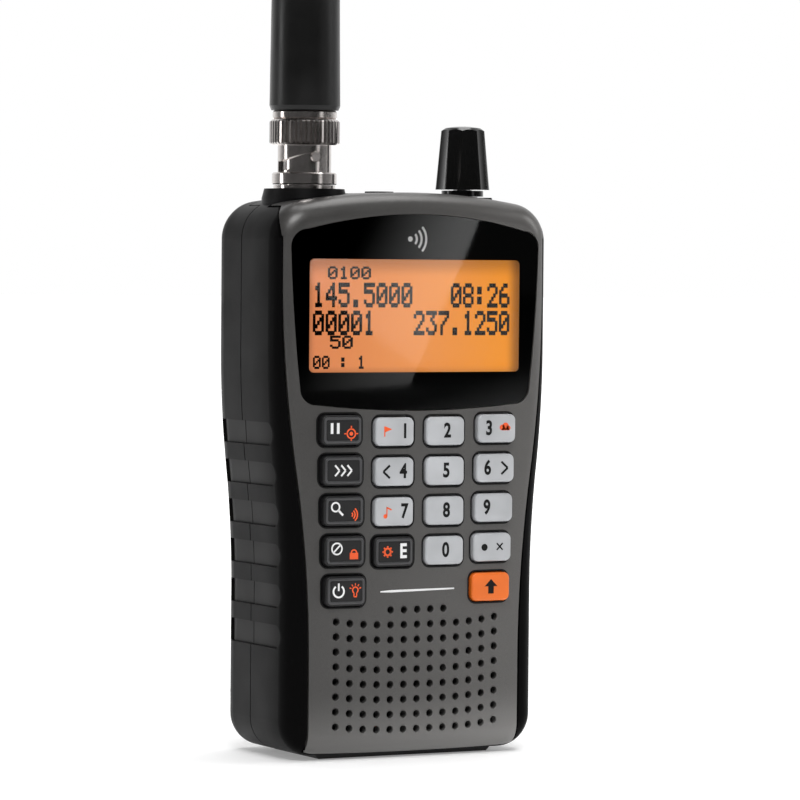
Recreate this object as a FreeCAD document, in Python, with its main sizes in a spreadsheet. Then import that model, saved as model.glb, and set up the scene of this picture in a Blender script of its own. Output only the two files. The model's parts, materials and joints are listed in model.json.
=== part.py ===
import FreeCAD, Part
import Sketcher
import math
import os
import re

# Handheld radio scanner.  Millimetres, +X to the user's right, the front looks along -Y, +Z up.
# The origin is the centre of the face that the scanner stands on.

doc = FreeCAD.newDocument("scanner")
sheet = doc.addObject("Spreadsheet::Sheet", "sizes")

SIZES = {
    # case, seen from the front and from the side
    "foot_height": 0.9, "case_top": 116.2, "arch_radius": 157, "upper_half": 31.8, "lower_half": 29.0,
    "flare_start": 34, "flare_end": 84, "top_corner": 8, "bottom_corner": 7,
    "front_y": -16.2, "face_radius": 300, "rear_y": 16.3, "front_round": 4.6, "rear_round": 6,
    "wall": 1.8, "part_line_y": 2.2, "part_line_gap": 0.3, "skin_depth": 0.7,
    "roof_line_y": 7, "roof_tab_half": 27.7, "roof_tab_z": 109.2,
    "ledge_front_y": -13.6, "ledge_back_y": -12, "roof_z": 111.3,
    # painted front cover
    "bezel_low_half": 24.3, "bezel_high_half": 30.15, "bezel_flare_start": 20, "bezel_flare_end": 98,
    "bezel_gap": 0.4, "bezel_back_y": -3, "cap_start_z": 107, "cap_end_z": 113.2, "cap_round_y": -8,
    "opening_margin": 2.2, "opening_bottom": 3.9, "opening_top": 109,
    "chin_top": 2.3, "chin_back_y": -12.9,
    # finger grooves in both sides
    "groove_count": 6, "groove_top_z": 66.7, "groove_pitch": 8.28, "groove_height": 4.8,
    "groove_front_y": -11.8, "groove_back_y": 13,
    # display
    "window_top": 111.6, "window_top_radius": 100, "window_bottom": 71.5, "window_bottom_radius": 217,
    "window_low_half": 26.6, "window_high_half": 28.7, "window_low_z": 76.2, "window_high_z": 105,
    "window_side_radius": 320, "window_corner": 3.6,
    "window_fit": 0.12, "window_recess": 0.3, "window_floor_y": -14.0, "mask_thick": 0.15,
    "view_half": 24.4, "view_low_z": 79.3, "view_high_z": 102.4, "view_corner": 1,
    "lcd_half": 25.3, "lcd_low_z": 76.9, "lcd_high_z": 104.9, "lcd_front_y": -13.45, "lcd_thick": 1.8,
    "backlight_thick": 3, "lcd_frame_wall": 1,
    # keypad
    "key_wide": 8.9, "key_high": 5.85, "dark_key_extra": 0.3, "key_corner": 1.3, "key_row_z": 67.2,
    "key_row_pitch": 8.2, "inner_column": 5.9, "outer_column": 18, "column_closing": 0.28,
    "outer_column_rise": 0.4, "key_front_y": -17, "key_edge_round": 0.45, "key_fit": 0.35,
    "flange_front_y": -13.5, "flange_back_y": -13, "flange_lip": 1.3, "plunger_radius": 1.3,
    "plunger_end_y": -9.5, "web_front_y": -11.95, "web_back_y": -10.95, "web_low_z": 31.4,
    "web_high_z": 71.2, "web_half": 22.1, "web_hole_radius": 1.8,
    # loudspeaker
    "grille_pitch": 3.07, "grille_hole_radius": 0.76, "grille_top_z": 27.5, "grille_rise": 1,
    "speaker_z": 17.6, "speaker_radius": 13.6, "speaker_front_y": -13.15, "speaker_back_y": -8,
    "magnet_radius": 7, "magnet_back_y": -5,
    # boards
    "board_thick": 1.2, "control_y": -8.5, "control_half": 24, "control_low_z": 32.2, "control_high_z": 109,
    "radio_y": -3.2, "radio_half": 22.8, "radio_low_z": 66, "radio_high_z": 100,
    "post_radius": 1.85, "board_screw_radius": 1, "upper_post_x": 21.4, "upper_post_z": 73.5,
    "lower_post_x": 8.5, "lower_post_z": 34.4,
    # battery bay
    "cell_radius": 7.1, "cell_length": 50, "cell_x": 7.4, "cell_y": 7, "cell_low_z": 9.6,
    "tub_half": 16.6, "tub_front_y": -1.8, "tub_wall": 1.3, "tub_low_z": 3.2, "tub_high_z": 63.4,
    "door_half": 17.8, "door_top": 60, "door_front_y": 14.6, "door_fit": 0.25,
    # screws and belt clip holes
    "screw_upper_x": 27.6, "screw_upper_z": 86, "screw_lower_x": 24.9, "screw_lower_z": 12,
    "screw_post_radius": 3, "screw_radius": 1.1, "screw_head_radius": 2.2, "screw_head_y": 14.4,
    "clip_hole_x": 8, "clip_hole_z": 80, "clip_hole_radius": 1.25, "clip_boss_radius": 3.4,
    "clip_hole_end_y": 10.6,
    # antenna and its bayonet plug
    "antenna_x": -18.6, "boss_top": 116.75, "boss_radius": 8.3, "seat_z": 110.6, "socket_flange_top": 117.5, "socket_flange_radius": 6.4,
    "barrel_radius": 4.8, "barrel_bore": 4.05, "barrel_top": 125.5, "socket_tail": 104,
    "nut_across": 12, "lug_radius": 1, "lug_reach": 5.4, "lug_z": 123.4,
    "sleeve_bottom": 117.6, "rim_top": 120.1, "rim_radius": 6.7, "sleeve_radius": 5.55,
    "sleeve_bore": 4.9, "knurl_bottom": 125.7, "knurl_top": 131, "knurl_radius": 7.25,
    "knurl_teeth": 44, "knurl_depth": 0.42, "slot_radius": 1.15, "slot_turn": 90, "slot_rise": 2.2,
    "shank_radius": 4, "ring_top": 132.9, "ring_radius": 6.65, "collar_low": 125.7, "collar_high": 126.5,
    "washer_high": 128, "sheath_low_radius": 7.3, "sheath_mid_radius": 7.05, "sheath_mid_z": 156,
    "sheath_top_radius": 5.2, "antenna_top": 284, "core_radius": 3.2, "post_top": 142,
    # volume and squelch
    "knob_x": 18.6, "knob_bottom": 117.1, "knob_top": 130.4, "knob_radius": 5.7,
    "knob_taper": 5.2, "flute_count": 9, "shaft_radius": 1.95, "sleeve_shaft_radius": 3.1,
    "squelch_radius": 4.4, "squelch_bottom": 115.7, "squelch_top": 116.9, "knob_boss_top": 115.5,
    "bore_clearance": 0.04,
    # sockets
    "jack_x": 0, "jack_y": 2.2, "jack_bore": 1.78, "jack_half": 3, "usb_z": 94.8, "usb_half": 3.85,
    "usb_deep_half": 1.95, "usb_wall": 0.35,
}
for row, (alias, size) in enumerate(SIZES.items(), start=1):
    sheet.set("A%d" % row, alias)
    sheet.set("B%d" % row, str(size))
    sheet.setAlias("B%d" % row, alias)
doc.recompute()

NODES = []


def linked(text):
    """The expression with each driving dimension written as a reference to the sheet."""
    return re.sub(r"[a-z]\w*", lambda w: "sizes." + w.group() if w.group() in SIZES else w.group(), str(text))


def number(text):
    return float(sheet.evalExpression(str(text)))


def bind(thing, what, text):
    thing.setExpression(what, linked(text))


def node(thing, name):
    """Marks an object of the document as one finished piece."""
    thing.Label = name
    NODES.append(thing)
    return thing


# ---- sketches -------------------------------------------------------------------------------

TURNS = {
    "XY_Plane": FreeCAD.Rotation(),
    "XZ_Plane": FreeCAD.Rotation(FreeCAD.Vector(1, 0, 0), 90),
    "YZ_Plane": FreeCAD.Rotation(FreeCAD.Vector(1, 1, 1), 120),
}


def body_sketch(body, plane, offset="0"):
    face = next(f for f in body.Origin.OriginFeatures if f.Role == plane)
    sketch = body.newObject("Sketcher::SketchObject", body.Name + "_sketch")
    sketch.AttachmentSupport = [(face, "")]
    sketch.MapMode = "FlatFace"
    bind(sketch, "AttachmentOffset.Base.z", offset)
    return sketch


def free_sketch(name, plane):
    sketch = doc.addObject("Sketcher::SketchObject", name)
    sketch.Placement = FreeCAD.Placement(FreeCAD.Vector(), TURNS[plane])
    return sketch


def fix_point(sketch, geometry, end, x, y):
    for kind, axis, text in (("DistanceX", -2, x), ("DistanceY", -1, y)):
        value = number(text)
        if abs(value) < 1e-9:
            sketch.addConstraint(Sketcher.Constraint("PointOnObject", geometry, end, axis))
        else:
            index = sketch.addConstraint(Sketcher.Constraint(kind, -1, 1, geometry, end, value))
            bind(sketch, "Constraints[%d]" % index, text)


def outline(sketch, corners):
    """A closed outline.  A corner is (x, y) or (x, y, radius): the radius bends the edge that leaves it,
    outwards on an anticlockwise outline, or inwards where it has a minus sign in front."""
    count = len(corners)
    places = [FreeCAD.Vector(number(c[0]), number(c[1]), 0) for c in corners]
    starts = []
    ends = []
    for i, corner in enumerate(corners):
        a = places[i]
        b = places[(i + 1) % count]
        if len(corner) == 2:
            index = sketch.addGeometry(Part.LineSegment(a, b))
            starts.append((index, 1))
            ends.append((index, 2))
            continue
        radius = number(corner[2])
        chord = b - a
        sagitta = abs(radius) - math.sqrt(max(radius * radius - chord.Length ** 2 / 4, 0))
        outward = FreeCAD.Vector(chord.y, -chord.x, 0).normalize() * math.copysign(sagitta, radius)
        index = sketch.addGeometry(Part.Arc(a, (a + b) * 0.5 + outward, b))
        forward = (sketch.getPoint(index, 1) - a).Length < 1e-4
        starts.append((index, 1 if forward else 2))
        ends.append((index, 2 if forward else 1))
        size = sketch.addConstraint(Sketcher.Constraint("Radius", index, abs(radius)))
        bind(sketch, "Constraints[%d]" % size, "abs(%s)" % corner[2])
    for i, corner in enumerate(corners):
        fix_point(sketch, starts[i][0], starts[i][1], corner[0], corner[1])
        following = starts[(i + 1) % count]
        sketch.addConstraint(Sketcher.Constraint("Coincident", ends[i][0], ends[i][1], *following))


def mirrored(right_side):
    """A symmetrical anticlockwise outline from its right half, listed from the bottom to the top."""
    left_side = []
    for i in range(len(right_side) - 1, -1, -1):
        corner = right_side[i]
        edge = right_side[i - 1][2:] if i > 0 else ()
        left_side.append(("-(%s)" % corner[0], corner[1]) + tuple(edge))
    return list(right_side) + left_side


def rounded(cx, cy, wide, high, radius):
    """Corners of a rectangle with rounded corners."""
    x0, x1 = "%s-(%s)/2" % (cx, wide), "%s+(%s)/2" % (cx, wide)
    y0, y1 = "%s-(%s)/2" % (cy, high), "%s+(%s)/2" % (cy, high)
    r = radius
    return [("%s+%s" % (x0, r), y0), ("%s-%s" % (x1, r), y0, r), (x1, "%s+%s" % (y0, r)),
            (x1, "%s-%s" % (y1, r), r), ("%s-%s" % (x1, r), y1), ("%s+%s" % (x0, r), y1, r),
            (x0, "%s-%s" % (y1, r)), (x0, "%s+%s" % (y0, r), r)]


def rectangle(x0, x1, y0, y1):
    return [(x0, y0), (x1, y0), (x1, y1), (x0, y1)]


def circle(sketch, x, y, radius):
    place = FreeCAD.Vector(number(x), number(y), 0)
    index = sketch.addGeometry(Part.Circle(place, FreeCAD.Vector(0, 0, 1), number(radius)))
    size = sketch.addConstraint(Sketcher.Constraint("Radius", index, number(radius)))
    bind(sketch, "Constraints[%d]" % size, radius)
    fix_point(sketch, index, 3, x, y)


# ---- solids ---------------------------------------------------------------------------------


def new_body(name):
    return doc.addObject("PartDesign::Body", name)


def pad(body, sketch, length, taper=None):
    feature = body.newObject("PartDesign::Pad", body.Name + "_pad")
    feature.Profile = sketch
    bind(feature, "Length", length)
    if taper:
        bind(feature, "TaperAngle", taper)
    return feature


def slab(name, plane, corners, low, high):
    """A body padded from low to high along the plane's own normal."""
    body = new_body(name)
    sketch = body_sketch(body, plane, low)
    outline(sketch, corners)
    pad(body, sketch, "(%s)-(%s)" % (high, low))
    return body


def front_slab(name, corners, front, back):
    """A body drawn from the front and padded between two depths.  The plane's normal is -Y."""
    return slab(name, "XZ_Plane", corners, "-(%s)" % back, "-(%s)" % front)


def revolved(name, corners, x="0", y="0"):
    """A body turned about a vertical axis at x, y from corners given as (radius, height)."""
    body = new_body(name)
    sketch = body_sketch(body, "XZ_Plane")
    outline(sketch, corners)
    feature = body.newObject("PartDesign::Revolution", name + "_turn")
    feature.Profile = sketch
    feature.ReferenceAxis = (sketch, ["V_Axis"])
    feature.Angle = 360
    bind(body, "Placement.Base.x", x)
    bind(body, "Placement.Base.y", y)
    return body


def extruded(name, sketch, length):
    solid = doc.addObject("Part::Extrusion", name)
    solid.Base = sketch
    solid.DirMode = "Normal"
    bind(solid, "LengthFwd", length)
    solid.Solid = True
    return solid


def box(name, x, y, z):
    solid = doc.addObject("Part::Box", name)
    for side, axis, (low, high) in (("Length", "x", x), ("Width", "y", y), ("Height", "z", z)):
        bind(solid, side, "(%s)-(%s)" % (high, low))
        bind(solid, "Placement.Base." + axis, low)
    return solid


def rod(name, place, radius, length, along="Z"):
    """A cylinder from a place along +X, +Y or +Z."""
    solid = doc.addObject("Part::Cylinder", name)
    turns = {"Z": (FreeCAD.Vector(0, 0, 1), 0), "Y": (FreeCAD.Vector(1, 0, 0), -90), "X": (FreeCAD.Vector(0, 1, 0), 90)}
    solid.Placement = FreeCAD.Placement(FreeCAD.Vector(), FreeCAD.Rotation(*turns[along]))
    bind(solid, "Radius", radius)
    bind(solid, "Height", length)
    for axis, text in zip("xyz", place):
        bind(solid, "Placement.Base." + axis, text)
    return solid


def minus(name, base, *tools):
    result = base
    for index, tool in enumerate(tools):
        last = index == len(tools) - 1
        step = doc.addObject("Part::Cut", name if last else "%s_less_%d" % (name, index + 1))
        step.Base = result
        step.Tool = tool
        result = step
    return result


def overlap(name, first, second):
    result = doc.addObject("Part::Common", name)
    result.Base = first
    result.Tool = second
    return result


def joined(name, *parts):
    result = doc.addObject("Part::MultiFuse", name)
    result.Shapes = list(parts)
    return result


def group(name, *parts):
    """Separate solids of one kind that share a node."""
    result = doc.addObject("Part::Compound", name)
    result.Links = list(parts)
    return result


def filleted(name, base, edges_and_radii):
    """Rounds the edges that a test picks out, one radius for each test."""
    doc.recompute()
    result = doc.addObject("Part::Fillet", name)
    result.Base = base
    chosen = []
    for index, edge in enumerate(base.Shape.Edges, start=1):
        for test, radius in edges_and_radii:
            if test(edge):
                chosen.append((index, number(radius), number(radius)))
                break
    result.Edges = chosen
    return result


# ---- the case as one block ------------------------------------------------------------------


def flare(low_half, high_half, start, end, inset):
    """Two arcs that widen one side of an outline from low_half to high_half without a kink."""
    step = "(%s-%s)" % (high_half, low_half)
    rise = "(%s-%s)" % (end, start)
    radius = "((%s^2+%s^2)/(4*%s))" % (rise, step, step)
    lean = "(%s/(2*%s))" % (rise, radius)
    middle_x = "(%s+%s)/2-(%s)*sqrt(1-%s^2)" % (low_half, high_half, inset, lean)
    middle_z = "(%s+%s)/2+(%s)*%s" % (start, end, inset, lean)
    return [("%s-(%s)" % (low_half, inset), start, "-(%s+(%s))" % (radius, inset)),
            (middle_x, middle_z, "%s-(%s)" % (radius, inset)),
            ("%s-(%s)" % (high_half, inset), end)]


def case_outline(inset, top):
    """The case from the front, drawn in by inset, with its arched top at the height top."""
    corner = "(top_corner-(%s))" % inset
    arch = "(arch_radius-(%s))" % inset
    centre_x = "(upper_half-top_corner)"
    centre_z = "((%s)-%s+sqrt((%s-%s)^2-%s^2))" % (top, arch, arch, corner, centre_x)
    arch_x = "(%s*%s/(%s-%s))" % (centre_x, arch, arch, corner)
    arch_z = "((%s)-%s+sqrt(%s^2-%s^2))" % (top, arch, arch, arch_x)
    bottom = "(foot_height+(%s))" % inset
    low = "(bottom_corner-(%s))" % inset
    half = "(lower_half-(%s))" % inset
    right = [("%s-%s" % (half, low), bottom, low), (half, "%s+%s" % (bottom, low))]
    right += flare("lower_half", "upper_half", "flare_start", "flare_end", inset)
    right += [("upper_half-(%s)" % inset, centre_z, corner), (arch_x, arch_z, arch)]
    return mirrored(right)


def face_outline(front, back):
    """The case from above: a wide box whose front is gently domed."""
    side = "40"
    edge_y = "(%s)+face_radius-sqrt(face_radius^2-40^2)" % front
    return [(side, back), ("-" + side, back), ("-" + side, edge_y, "face_radius"), (side, edge_y)]


def depth_block(name, front, back):
    sketch = free_sketch(name + "_plan", "XY_Plane")
    outline(sketch, face_outline(front, back))
    bind(sketch, "Placement.Base.z", "-10")
    return extruded(name, sketch, "160")


def case_block(name, inset, top, front, back, front_round, rear_round):
    sketch = free_sketch(name + "_outline", "XZ_Plane")
    outline(sketch, case_outline(inset, top))
    bind(sketch, "Placement.Base.y", "40")
    prism = extruded(name + "_prism", sketch, "80")
    sharp = overlap(name + "_sharp", prism, depth_block(name + "_depth", front, back))
    middle_y = number("(%s+%s)/2" % (front, back))

    def at_front(edge):
        return edge.BoundBox.YMax < middle_y

    def at_back(edge):
        return edge.BoundBox.YMin > middle_y

    return filleted(name, sharp, [(at_front, front_round), (at_back, rear_round)])


outer = case_block("outer", "0", "case_top", "front_y", "rear_y", "front_round", "rear_round")
grip_core = case_block("grip_core", "skin_depth", "case_top-skin_depth", "front_y+skin_depth",
                       "rear_y-skin_depth", "front_round-skin_depth", "rear_round-skin_depth")
cavity = case_block("cavity", "wall", "roof_z", "ledge_back_y", "rear_y-wall", "1.5", "rear_round-wall")


# ---- front cover ----------------------------------------------------------------------------


def bezel_outline(grow, low, high):
    right = [("bezel_low_half+(%s)" % grow, low)]
    right += flare("bezel_low_half", "bezel_high_half", "bezel_flare_start", "bezel_flare_end", "-(%s)" % grow)
    right += [("bezel_high_half+(%s)" % grow, high)]
    return mirrored(right)


def cap_outline(grow):
    """The cover where it wraps over the top, seen from the right: it starts above the side panels."""
    round_y = "cap_round_y"
    low = "cap_start_z-(%s)" % grow
    high = "cap_end_z-(%s)" % grow
    back = "bezel_back_y+(%s)" % grow
    return [("-30", low), ("ledge_front_y+(%s)" % grow, low, "-8"), (round_y, high), (back, "cap_end_z-(%s)" % grow),
            (back, "130"), ("-30", "130")]


def cover_zone(name, grow, back):
    face = front_slab(name + "_face", bezel_outline(grow, "-10", "130"), "-30", back)
    cap = slab(name + "_cap", "YZ_Plane", cap_outline(grow), "-45", "45")
    chin = front_slab(name + "_chin", rectangle("-bezel_low_half-(%s)" % grow, "bezel_low_half+(%s)" % grow, "-10",
                                                "chin_top+(%s)" % grow), "-30", "chin_back_y+(%s)" % grow)
    return joined(name, face, cap, chin)


cover = overlap("cover", outer, cover_zone("cover_zone", "0", "ledge_front_y-0.05"))


def window_outline(grow):
    """The display window: an arched top, a smiling foot and slightly bowed sides."""
    r = "window_corner"
    top = "(window_top+(%s))" % grow
    foot = "(window_bottom-(%s))" % grow
    top_x = "(window_high_half-%s)" % r
    foot_x = "(window_low_half-%s)" % r
    top_z = "%s-(window_top_radius-sqrt(window_top_radius^2-%s^2))" % (top, top_x)
    foot_z = "%s+(window_bottom_radius-sqrt(window_bottom_radius^2-%s^2))" % (foot, foot_x)
    right = [(foot_x, foot_z, r), ("window_low_half+(%s)" % grow, "window_low_z", "window_side_radius"),
             ("window_high_half+(%s)" % grow, "window_high_z", r), (top_x, top_z, "window_top_radius")]
    outline_corners = mirrored(right)
    last = outline_corners[-1]
    outline_corners[-1] = (last[0], last[1], "window_bottom_radius")
    return outline_corners


window_pit = front_slab("window_pit", window_outline("window_fit"), "-30", "window_floor_y")
view_port = front_slab("view_port", rounded("0", "(view_low_z+view_high_z)/2", "2*view_half+1.6",
                                            "view_high_z-view_low_z+1.6", "view_corner"), "-30", "0")

# ---- keypad ---------------------------------------------------------------------------------

KEYS = [
    # name, column from the left, row from the top, dark keys are a little larger
    ("key_hold", 0, 0, True), ("key_1", 1, 0, False), ("key_2", 2, 0, False), ("key_3", 3, 0, False),
    ("key_scan", 0, 1, True), ("key_4", 1, 1, False), ("key_5", 2, 1, False), ("key_6", 3, 1, False),
    ("key_search", 0, 2, True), ("key_7", 1, 2, False), ("key_8", 2, 2, False), ("key_9", 3, 2, False),
    ("key_lockout", 0, 3, True), ("key_enter", 1, 3, True), ("key_0", 2, 3, False), ("key_dot", 3, 3, False),
    ("key_power", 0, 4, True), ("key_function", 3, 4, False),
]


def key_centre(column, row):
    outer_column = column in (0, 3)
    reach = "(outer_column-column_closing*%d)" % row if outer_column else "inner_column"
    x = ("-" if column < 2 else "") + reach
    z = "(key_row_z-key_row_pitch*%d" % row + ("+outer_column_rise)" if outer_column else ")")
    return x, z


def key_size(dark):
    extra = "+dark_key_extra" if dark else ""
    return "(key_wide%s)" % extra, "(key_high%s)" % extra


def make_key(name, column, row, dark):
    """A cap, a wider flange that keeps it behind the cover, and a plunger."""
    x, z = key_centre(column, row)
    wide, high = key_size(dark)
    body = new_body(name)
    cap = body_sketch(body, "XZ_Plane", "-(flange_back_y)")
    outline(cap, rounded(x, z, wide, high, "key_corner"))
    pad(body, cap, "flange_back_y-(key_front_y)")
    flange = body_sketch(body, "XZ_Plane", "-(flange_back_y)")
    outline(flange, rounded(x, z, wide + "+flange_lip", high + "+flange_lip", "key_corner"))
    pad(body, flange, "flange_back_y-(flange_front_y)")
    plunger = body_sketch(body, "XZ_Plane", "-(plunger_end_y)")
    circle(plunger, x, z, "plunger_radius")
    pad(body, plunger, "plunger_end_y-(flange_back_y)+0.1")
    doc.recompute()
    front = number("key_front_y")
    blank = body.Tip
    names = ["Edge%d" % i for i, e in enumerate(blank.Shape.Edges, start=1) if e.BoundBox.YMax < front + 1e-3]
    edge_round = body.newObject("PartDesign::Fillet", name + "_round")
    edge_round.Base = (blank, names)
    bind(edge_round, "Radius", "key_edge_round")
    body.Tip = edge_round
    return node(body, name)


key_wells = []
web_holes = []
for key_name, key_column, key_row, key_dark in KEYS:
    make_key(key_name, key_column, key_row, key_dark)
    key_x, key_z = key_centre(key_column, key_row)
    key_w, key_h = key_size(key_dark)
    well = rounded(key_x, key_z, key_w + "+2*key_fit", key_h + "+2*key_fit", "key_corner")
    key_wells.append(front_slab("well_for_" + key_name, well, "-25", "-5"))
    web_holes.append(rod("web_hole_for_" + key_name, (key_x, "-25", key_z), "web_hole_radius", "20", "Y"))
key_openings = group("key_openings", *key_wells)

web = front_slab("web", rectangle("-web_half", "web_half", "web_low_z", "web_high_z"), "web_front_y", "web_back_y")
board_post_places = [("upper_post_x", "upper_post_z"), ("-upper_post_x", "upper_post_z"),
                     ("lower_post_x", "lower_post_z"), ("-lower_post_x", "lower_post_z")]
post_clearance = free_sketch("post_clearance_outline", "XZ_Plane")
for post_x, post_z in board_post_places:
    circle(post_clearance, post_x, post_z, "post_radius+0.2")
bind(post_clearance, "Placement.Base.y", "-5")
post_holes = extruded("post_holes", post_clearance, "20")
node(minus("keypad_membrane", web, group("web_hole_rods", *web_holes), post_holes), "keypad_membrane")
dome_plate = front_slab("dome_plate", rectangle("-web_half", "web_half", "web_low_z", "web_high_z"),
                        "control_y-0.2", "control_y")
node(minus("dome_sheet", dome_plate, post_holes), "dome_sheet")

# ---- grille ---------------------------------------------------------------------------------


def grille_places():
    """Thirteen columns by eight rows that smile upwards at both ends, and five holes above them."""
    for row in range(-1, 8):
        for column in range(-6, 7):
            if row >= 0 or abs(column) <= 2:
                lift = number("grille_rise") * (abs(column) / 6) ** 3
                pitch = number("grille_pitch")
                yield FreeCAD.Vector(pitch * column, -20, number("grille_top_z") - pitch * row + lift)


hole_rods = [Part.makeCylinder(number("grille_hole_radius"), 15, place, FreeCAD.Vector(0, 1, 0))
             for place in grille_places()]
grille_holes = doc.addObject("Part::Feature", "grille_holes")
grille_holes.Shape = Part.makeCompound(hole_rods)

posts_sketch = free_sketch("posts_outline", "XZ_Plane")
pilot_sketch = free_sketch("pilot_outline", "XZ_Plane")
for post_x, post_z in board_post_places:
    circle(posts_sketch, post_x, post_z, "post_radius")
    circle(pilot_sketch, post_x, post_z, "board_screw_radius+0.05")
bind(posts_sketch, "Placement.Base.y", "control_y")
bind(pilot_sketch, "Placement.Base.y", "0")
posts = extruded("posts", posts_sketch, "control_y-(ledge_front_y)+0.4")
pilots = extruded("pilots", pilot_sketch, "12.5")

boss_clearance = rod("boss_clearance", ("antenna_x", "0", "100"), "boss_radius+0.9", "40")
knob_clearance = rod("knob_clearance", ("knob_x", "0", "100"), "squelch_radius+0.4", "40")
cover_plate = minus("cover_plate", cover, window_pit, view_port, key_openings, grille_holes, boss_clearance,
                    knob_clearance)
node(minus("front_bezel", joined("cover_with_posts", cover_plate, posts), pilots), "front_bezel")

# ---- front and rear shells ------------------------------------------------------------------


def side_grooves(name):
    """Finger grooves: round-nosed slots that only bite as deep as the skin."""
    solids = []
    for index in range(SIZES["groove_count"]):
        middle = "(groove_top_z-groove_pitch*%d)" % index
        half = "(groove_height/2)"
        nose = "groove_front_y+%s" % half
        corners = [(nose, middle + "+" + half, half + "*1.03"), (nose, middle + "-" + half),
                   ("groove_back_y", middle + "-" + half), ("groove_back_y", middle + "+" + half)]
        solids.append(slab("%s_%d" % (name, index + 1), "YZ_Plane", corners, "-45", "45"))
    return minus(name, joined(name + "_slots", *solids), grip_core)


grooves = side_grooves("grooves")


def front_space(name, grow):
    """The space of the front shell: it reaches further back at the roof, round the sockets."""
    sides = box(name + "_sides", ("-50", "50"), ("-50", "part_line_y+(%s)" % grow), ("-5", "130"))
    roof = box(name + "_roof", ("-roof_tab_half-(%s)" % grow, "roof_tab_half+(%s)" % grow),
               ("-20", "roof_line_y+(%s)" % grow), ("roof_tab_z-(%s)" % grow, "130"))
    return joined(name, sides, roof)


front_half = overlap("front_half", outer, front_space("front_space", "-part_line_gap/2"))
rear_half = minus("rear_half", outer, front_space("rear_step", "part_line_gap/2"))
front_opening = front_slab("front_opening", bezel_outline("-opening_margin", "opening_bottom", "opening_top"),
                           "-30", "-5")


def knob_boss_outline():
    """A low platform on the roof whose ends slope down."""
    left = "knob_x-7"
    right = "knob_x+5.6"
    return [(left + "-0.6", "roof_z+0.5"), (right + "+0.5", "roof_z+0.5"), (right + "+0.5", "knob_boss_top-1.4"),
            (right, "knob_boss_top"), (left, "knob_boss_top")]


antenna_boss = revolved("antenna_boss", [("0", "roof_z+0.2"), ("boss_radius+0.5", "roof_z+0.2"),
                                         ("boss_radius+0.5", "boss_top-2"), ("boss_radius", "boss_top"),
                                         ("0", "boss_top")], "antenna_x")
boss_front = box("boss_front", ("-50", "0"), ("-20", "roof_line_y-part_line_gap/2"), ("100", "130"))
antenna_boss_part = overlap("antenna_boss_part", antenna_boss, boss_front)
knob_boss = front_slab("knob_boss", knob_boss_outline(), "bezel_back_y+bezel_gap", "roof_line_y-part_line_gap/2")


def screw_rods(name, front, back, radius):
    solids = []
    for side in ("", "-"):
        for level in ("upper", "lower"):
            place = ("%sscrew_%s_x" % (side, level), front, "screw_%s_z" % level)
            solids.append(rod("%s_%s%s" % (name, level, "_left" if side else "_right"), place,
                              radius, "(%s)-(%s)" % (back, front), "Y"))
    return solids


front_shell = minus("front_shell", front_half, cover_zone("cover_clearance", "bezel_gap", "ledge_front_y"),
                    cavity, front_opening, grooves)
front_posts = [overlap(post.Name + "_trimmed", post, outer)
               for post in screw_rods("front_post", "-6.8", "part_line_y-part_line_gap/2", "screw_post_radius")]
front_solid = joined("front_solid", front_shell, antenna_boss_part, knob_boss, *front_posts)
front_pilots = group("front_pilots", *screw_rods("front_pilot", "-6", "part_line_y+1", "screw_radius+0.05"))
antenna_hole = rod("antenna_hole", ("antenna_x", "0", "90"), "barrel_radius+0.05", "40")
squelch_hole = rod("squelch_hole", ("knob_x", "0", "100"), "sleeve_shaft_radius+0.1", "30")
jack_hole = rod("jack_hole", ("jack_x", "jack_y", "100"), "jack_half+0.1", "30")
usb_hole = box("usb_hole", ("28", "40"), ("-usb_deep_half-0.5", "usb_deep_half+0.5"),
               ("usb_z-usb_half-0.7", "usb_z+usb_half+0.7"))
nut_seat = rod("nut_seat", ("antenna_x", "0", "95"), "7.4", "seat_z-95")
control_seat = box("control_seat", ("knob_x-6.8", "knob_x+6.8"), ("-6.7", "6.7"), ("95", "seat_z"))
node(minus("front_case", front_solid, front_pilots, antenna_hole, squelch_hole, jack_hole, usb_hole, nut_seat,
           control_seat), "front_case")

tub_outside = box("tub_outside", ("-tub_half", "tub_half"), ("tub_front_y", "rear_y-wall+0.1"),
                  ("tub_low_z", "tub_high_z"))
tub_inside = box("tub_inside", ("-tub_half+tub_wall", "tub_half-tub_wall"), ("tub_front_y+tub_wall", "30"),
                 ("tub_low_z+tub_wall", "tub_high_z-tub_wall"))
door_opening = box("door_opening", ("-door_half-door_fit", "door_half+door_fit"), ("door_front_y-door_fit", "30"),
                   ("-5", "door_top+door_fit"))
rear_shell = minus("rear_shell", rear_half, cavity, grooves)
rear_posts = [overlap(post.Name + "_trimmed", post, outer)
              for post in screw_rods("rear_post", "part_line_y+part_line_gap/2", "rear_y-1", "screw_post_radius")]
clip_bosses = [rod("clip_boss_right", ("clip_hole_x", "clip_hole_end_y-1.2", "clip_hole_z"), "clip_boss_radius",
                   "rear_y-wall-clip_hole_end_y+1.4", "Y"),
               rod("clip_boss_left", ("-clip_hole_x", "clip_hole_end_y-1.2", "clip_hole_z"), "clip_boss_radius",
                   "rear_y-wall-clip_hole_end_y+1.4", "Y")]
rear_solid = joined("rear_solid", rear_shell, tub_outside, *rear_posts, *clip_bosses)
rear_bores = group("rear_bores", *screw_rods("rear_bore", "0", "40", "screw_radius+0.1"))
rear_heads = group("rear_heads", *screw_rods("rear_head", "screw_head_y-0.05", "40", "screw_head_radius+0.15"))
clip_holes = group("clip_holes", rod("clip_hole_right", ("clip_hole_x", "clip_hole_end_y", "clip_hole_z"),
                                     "clip_hole_radius", "20", "Y"),
                   rod("clip_hole_left", ("-clip_hole_x", "clip_hole_end_y", "clip_hole_z"),
                       "clip_hole_radius", "20", "Y"))
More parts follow.
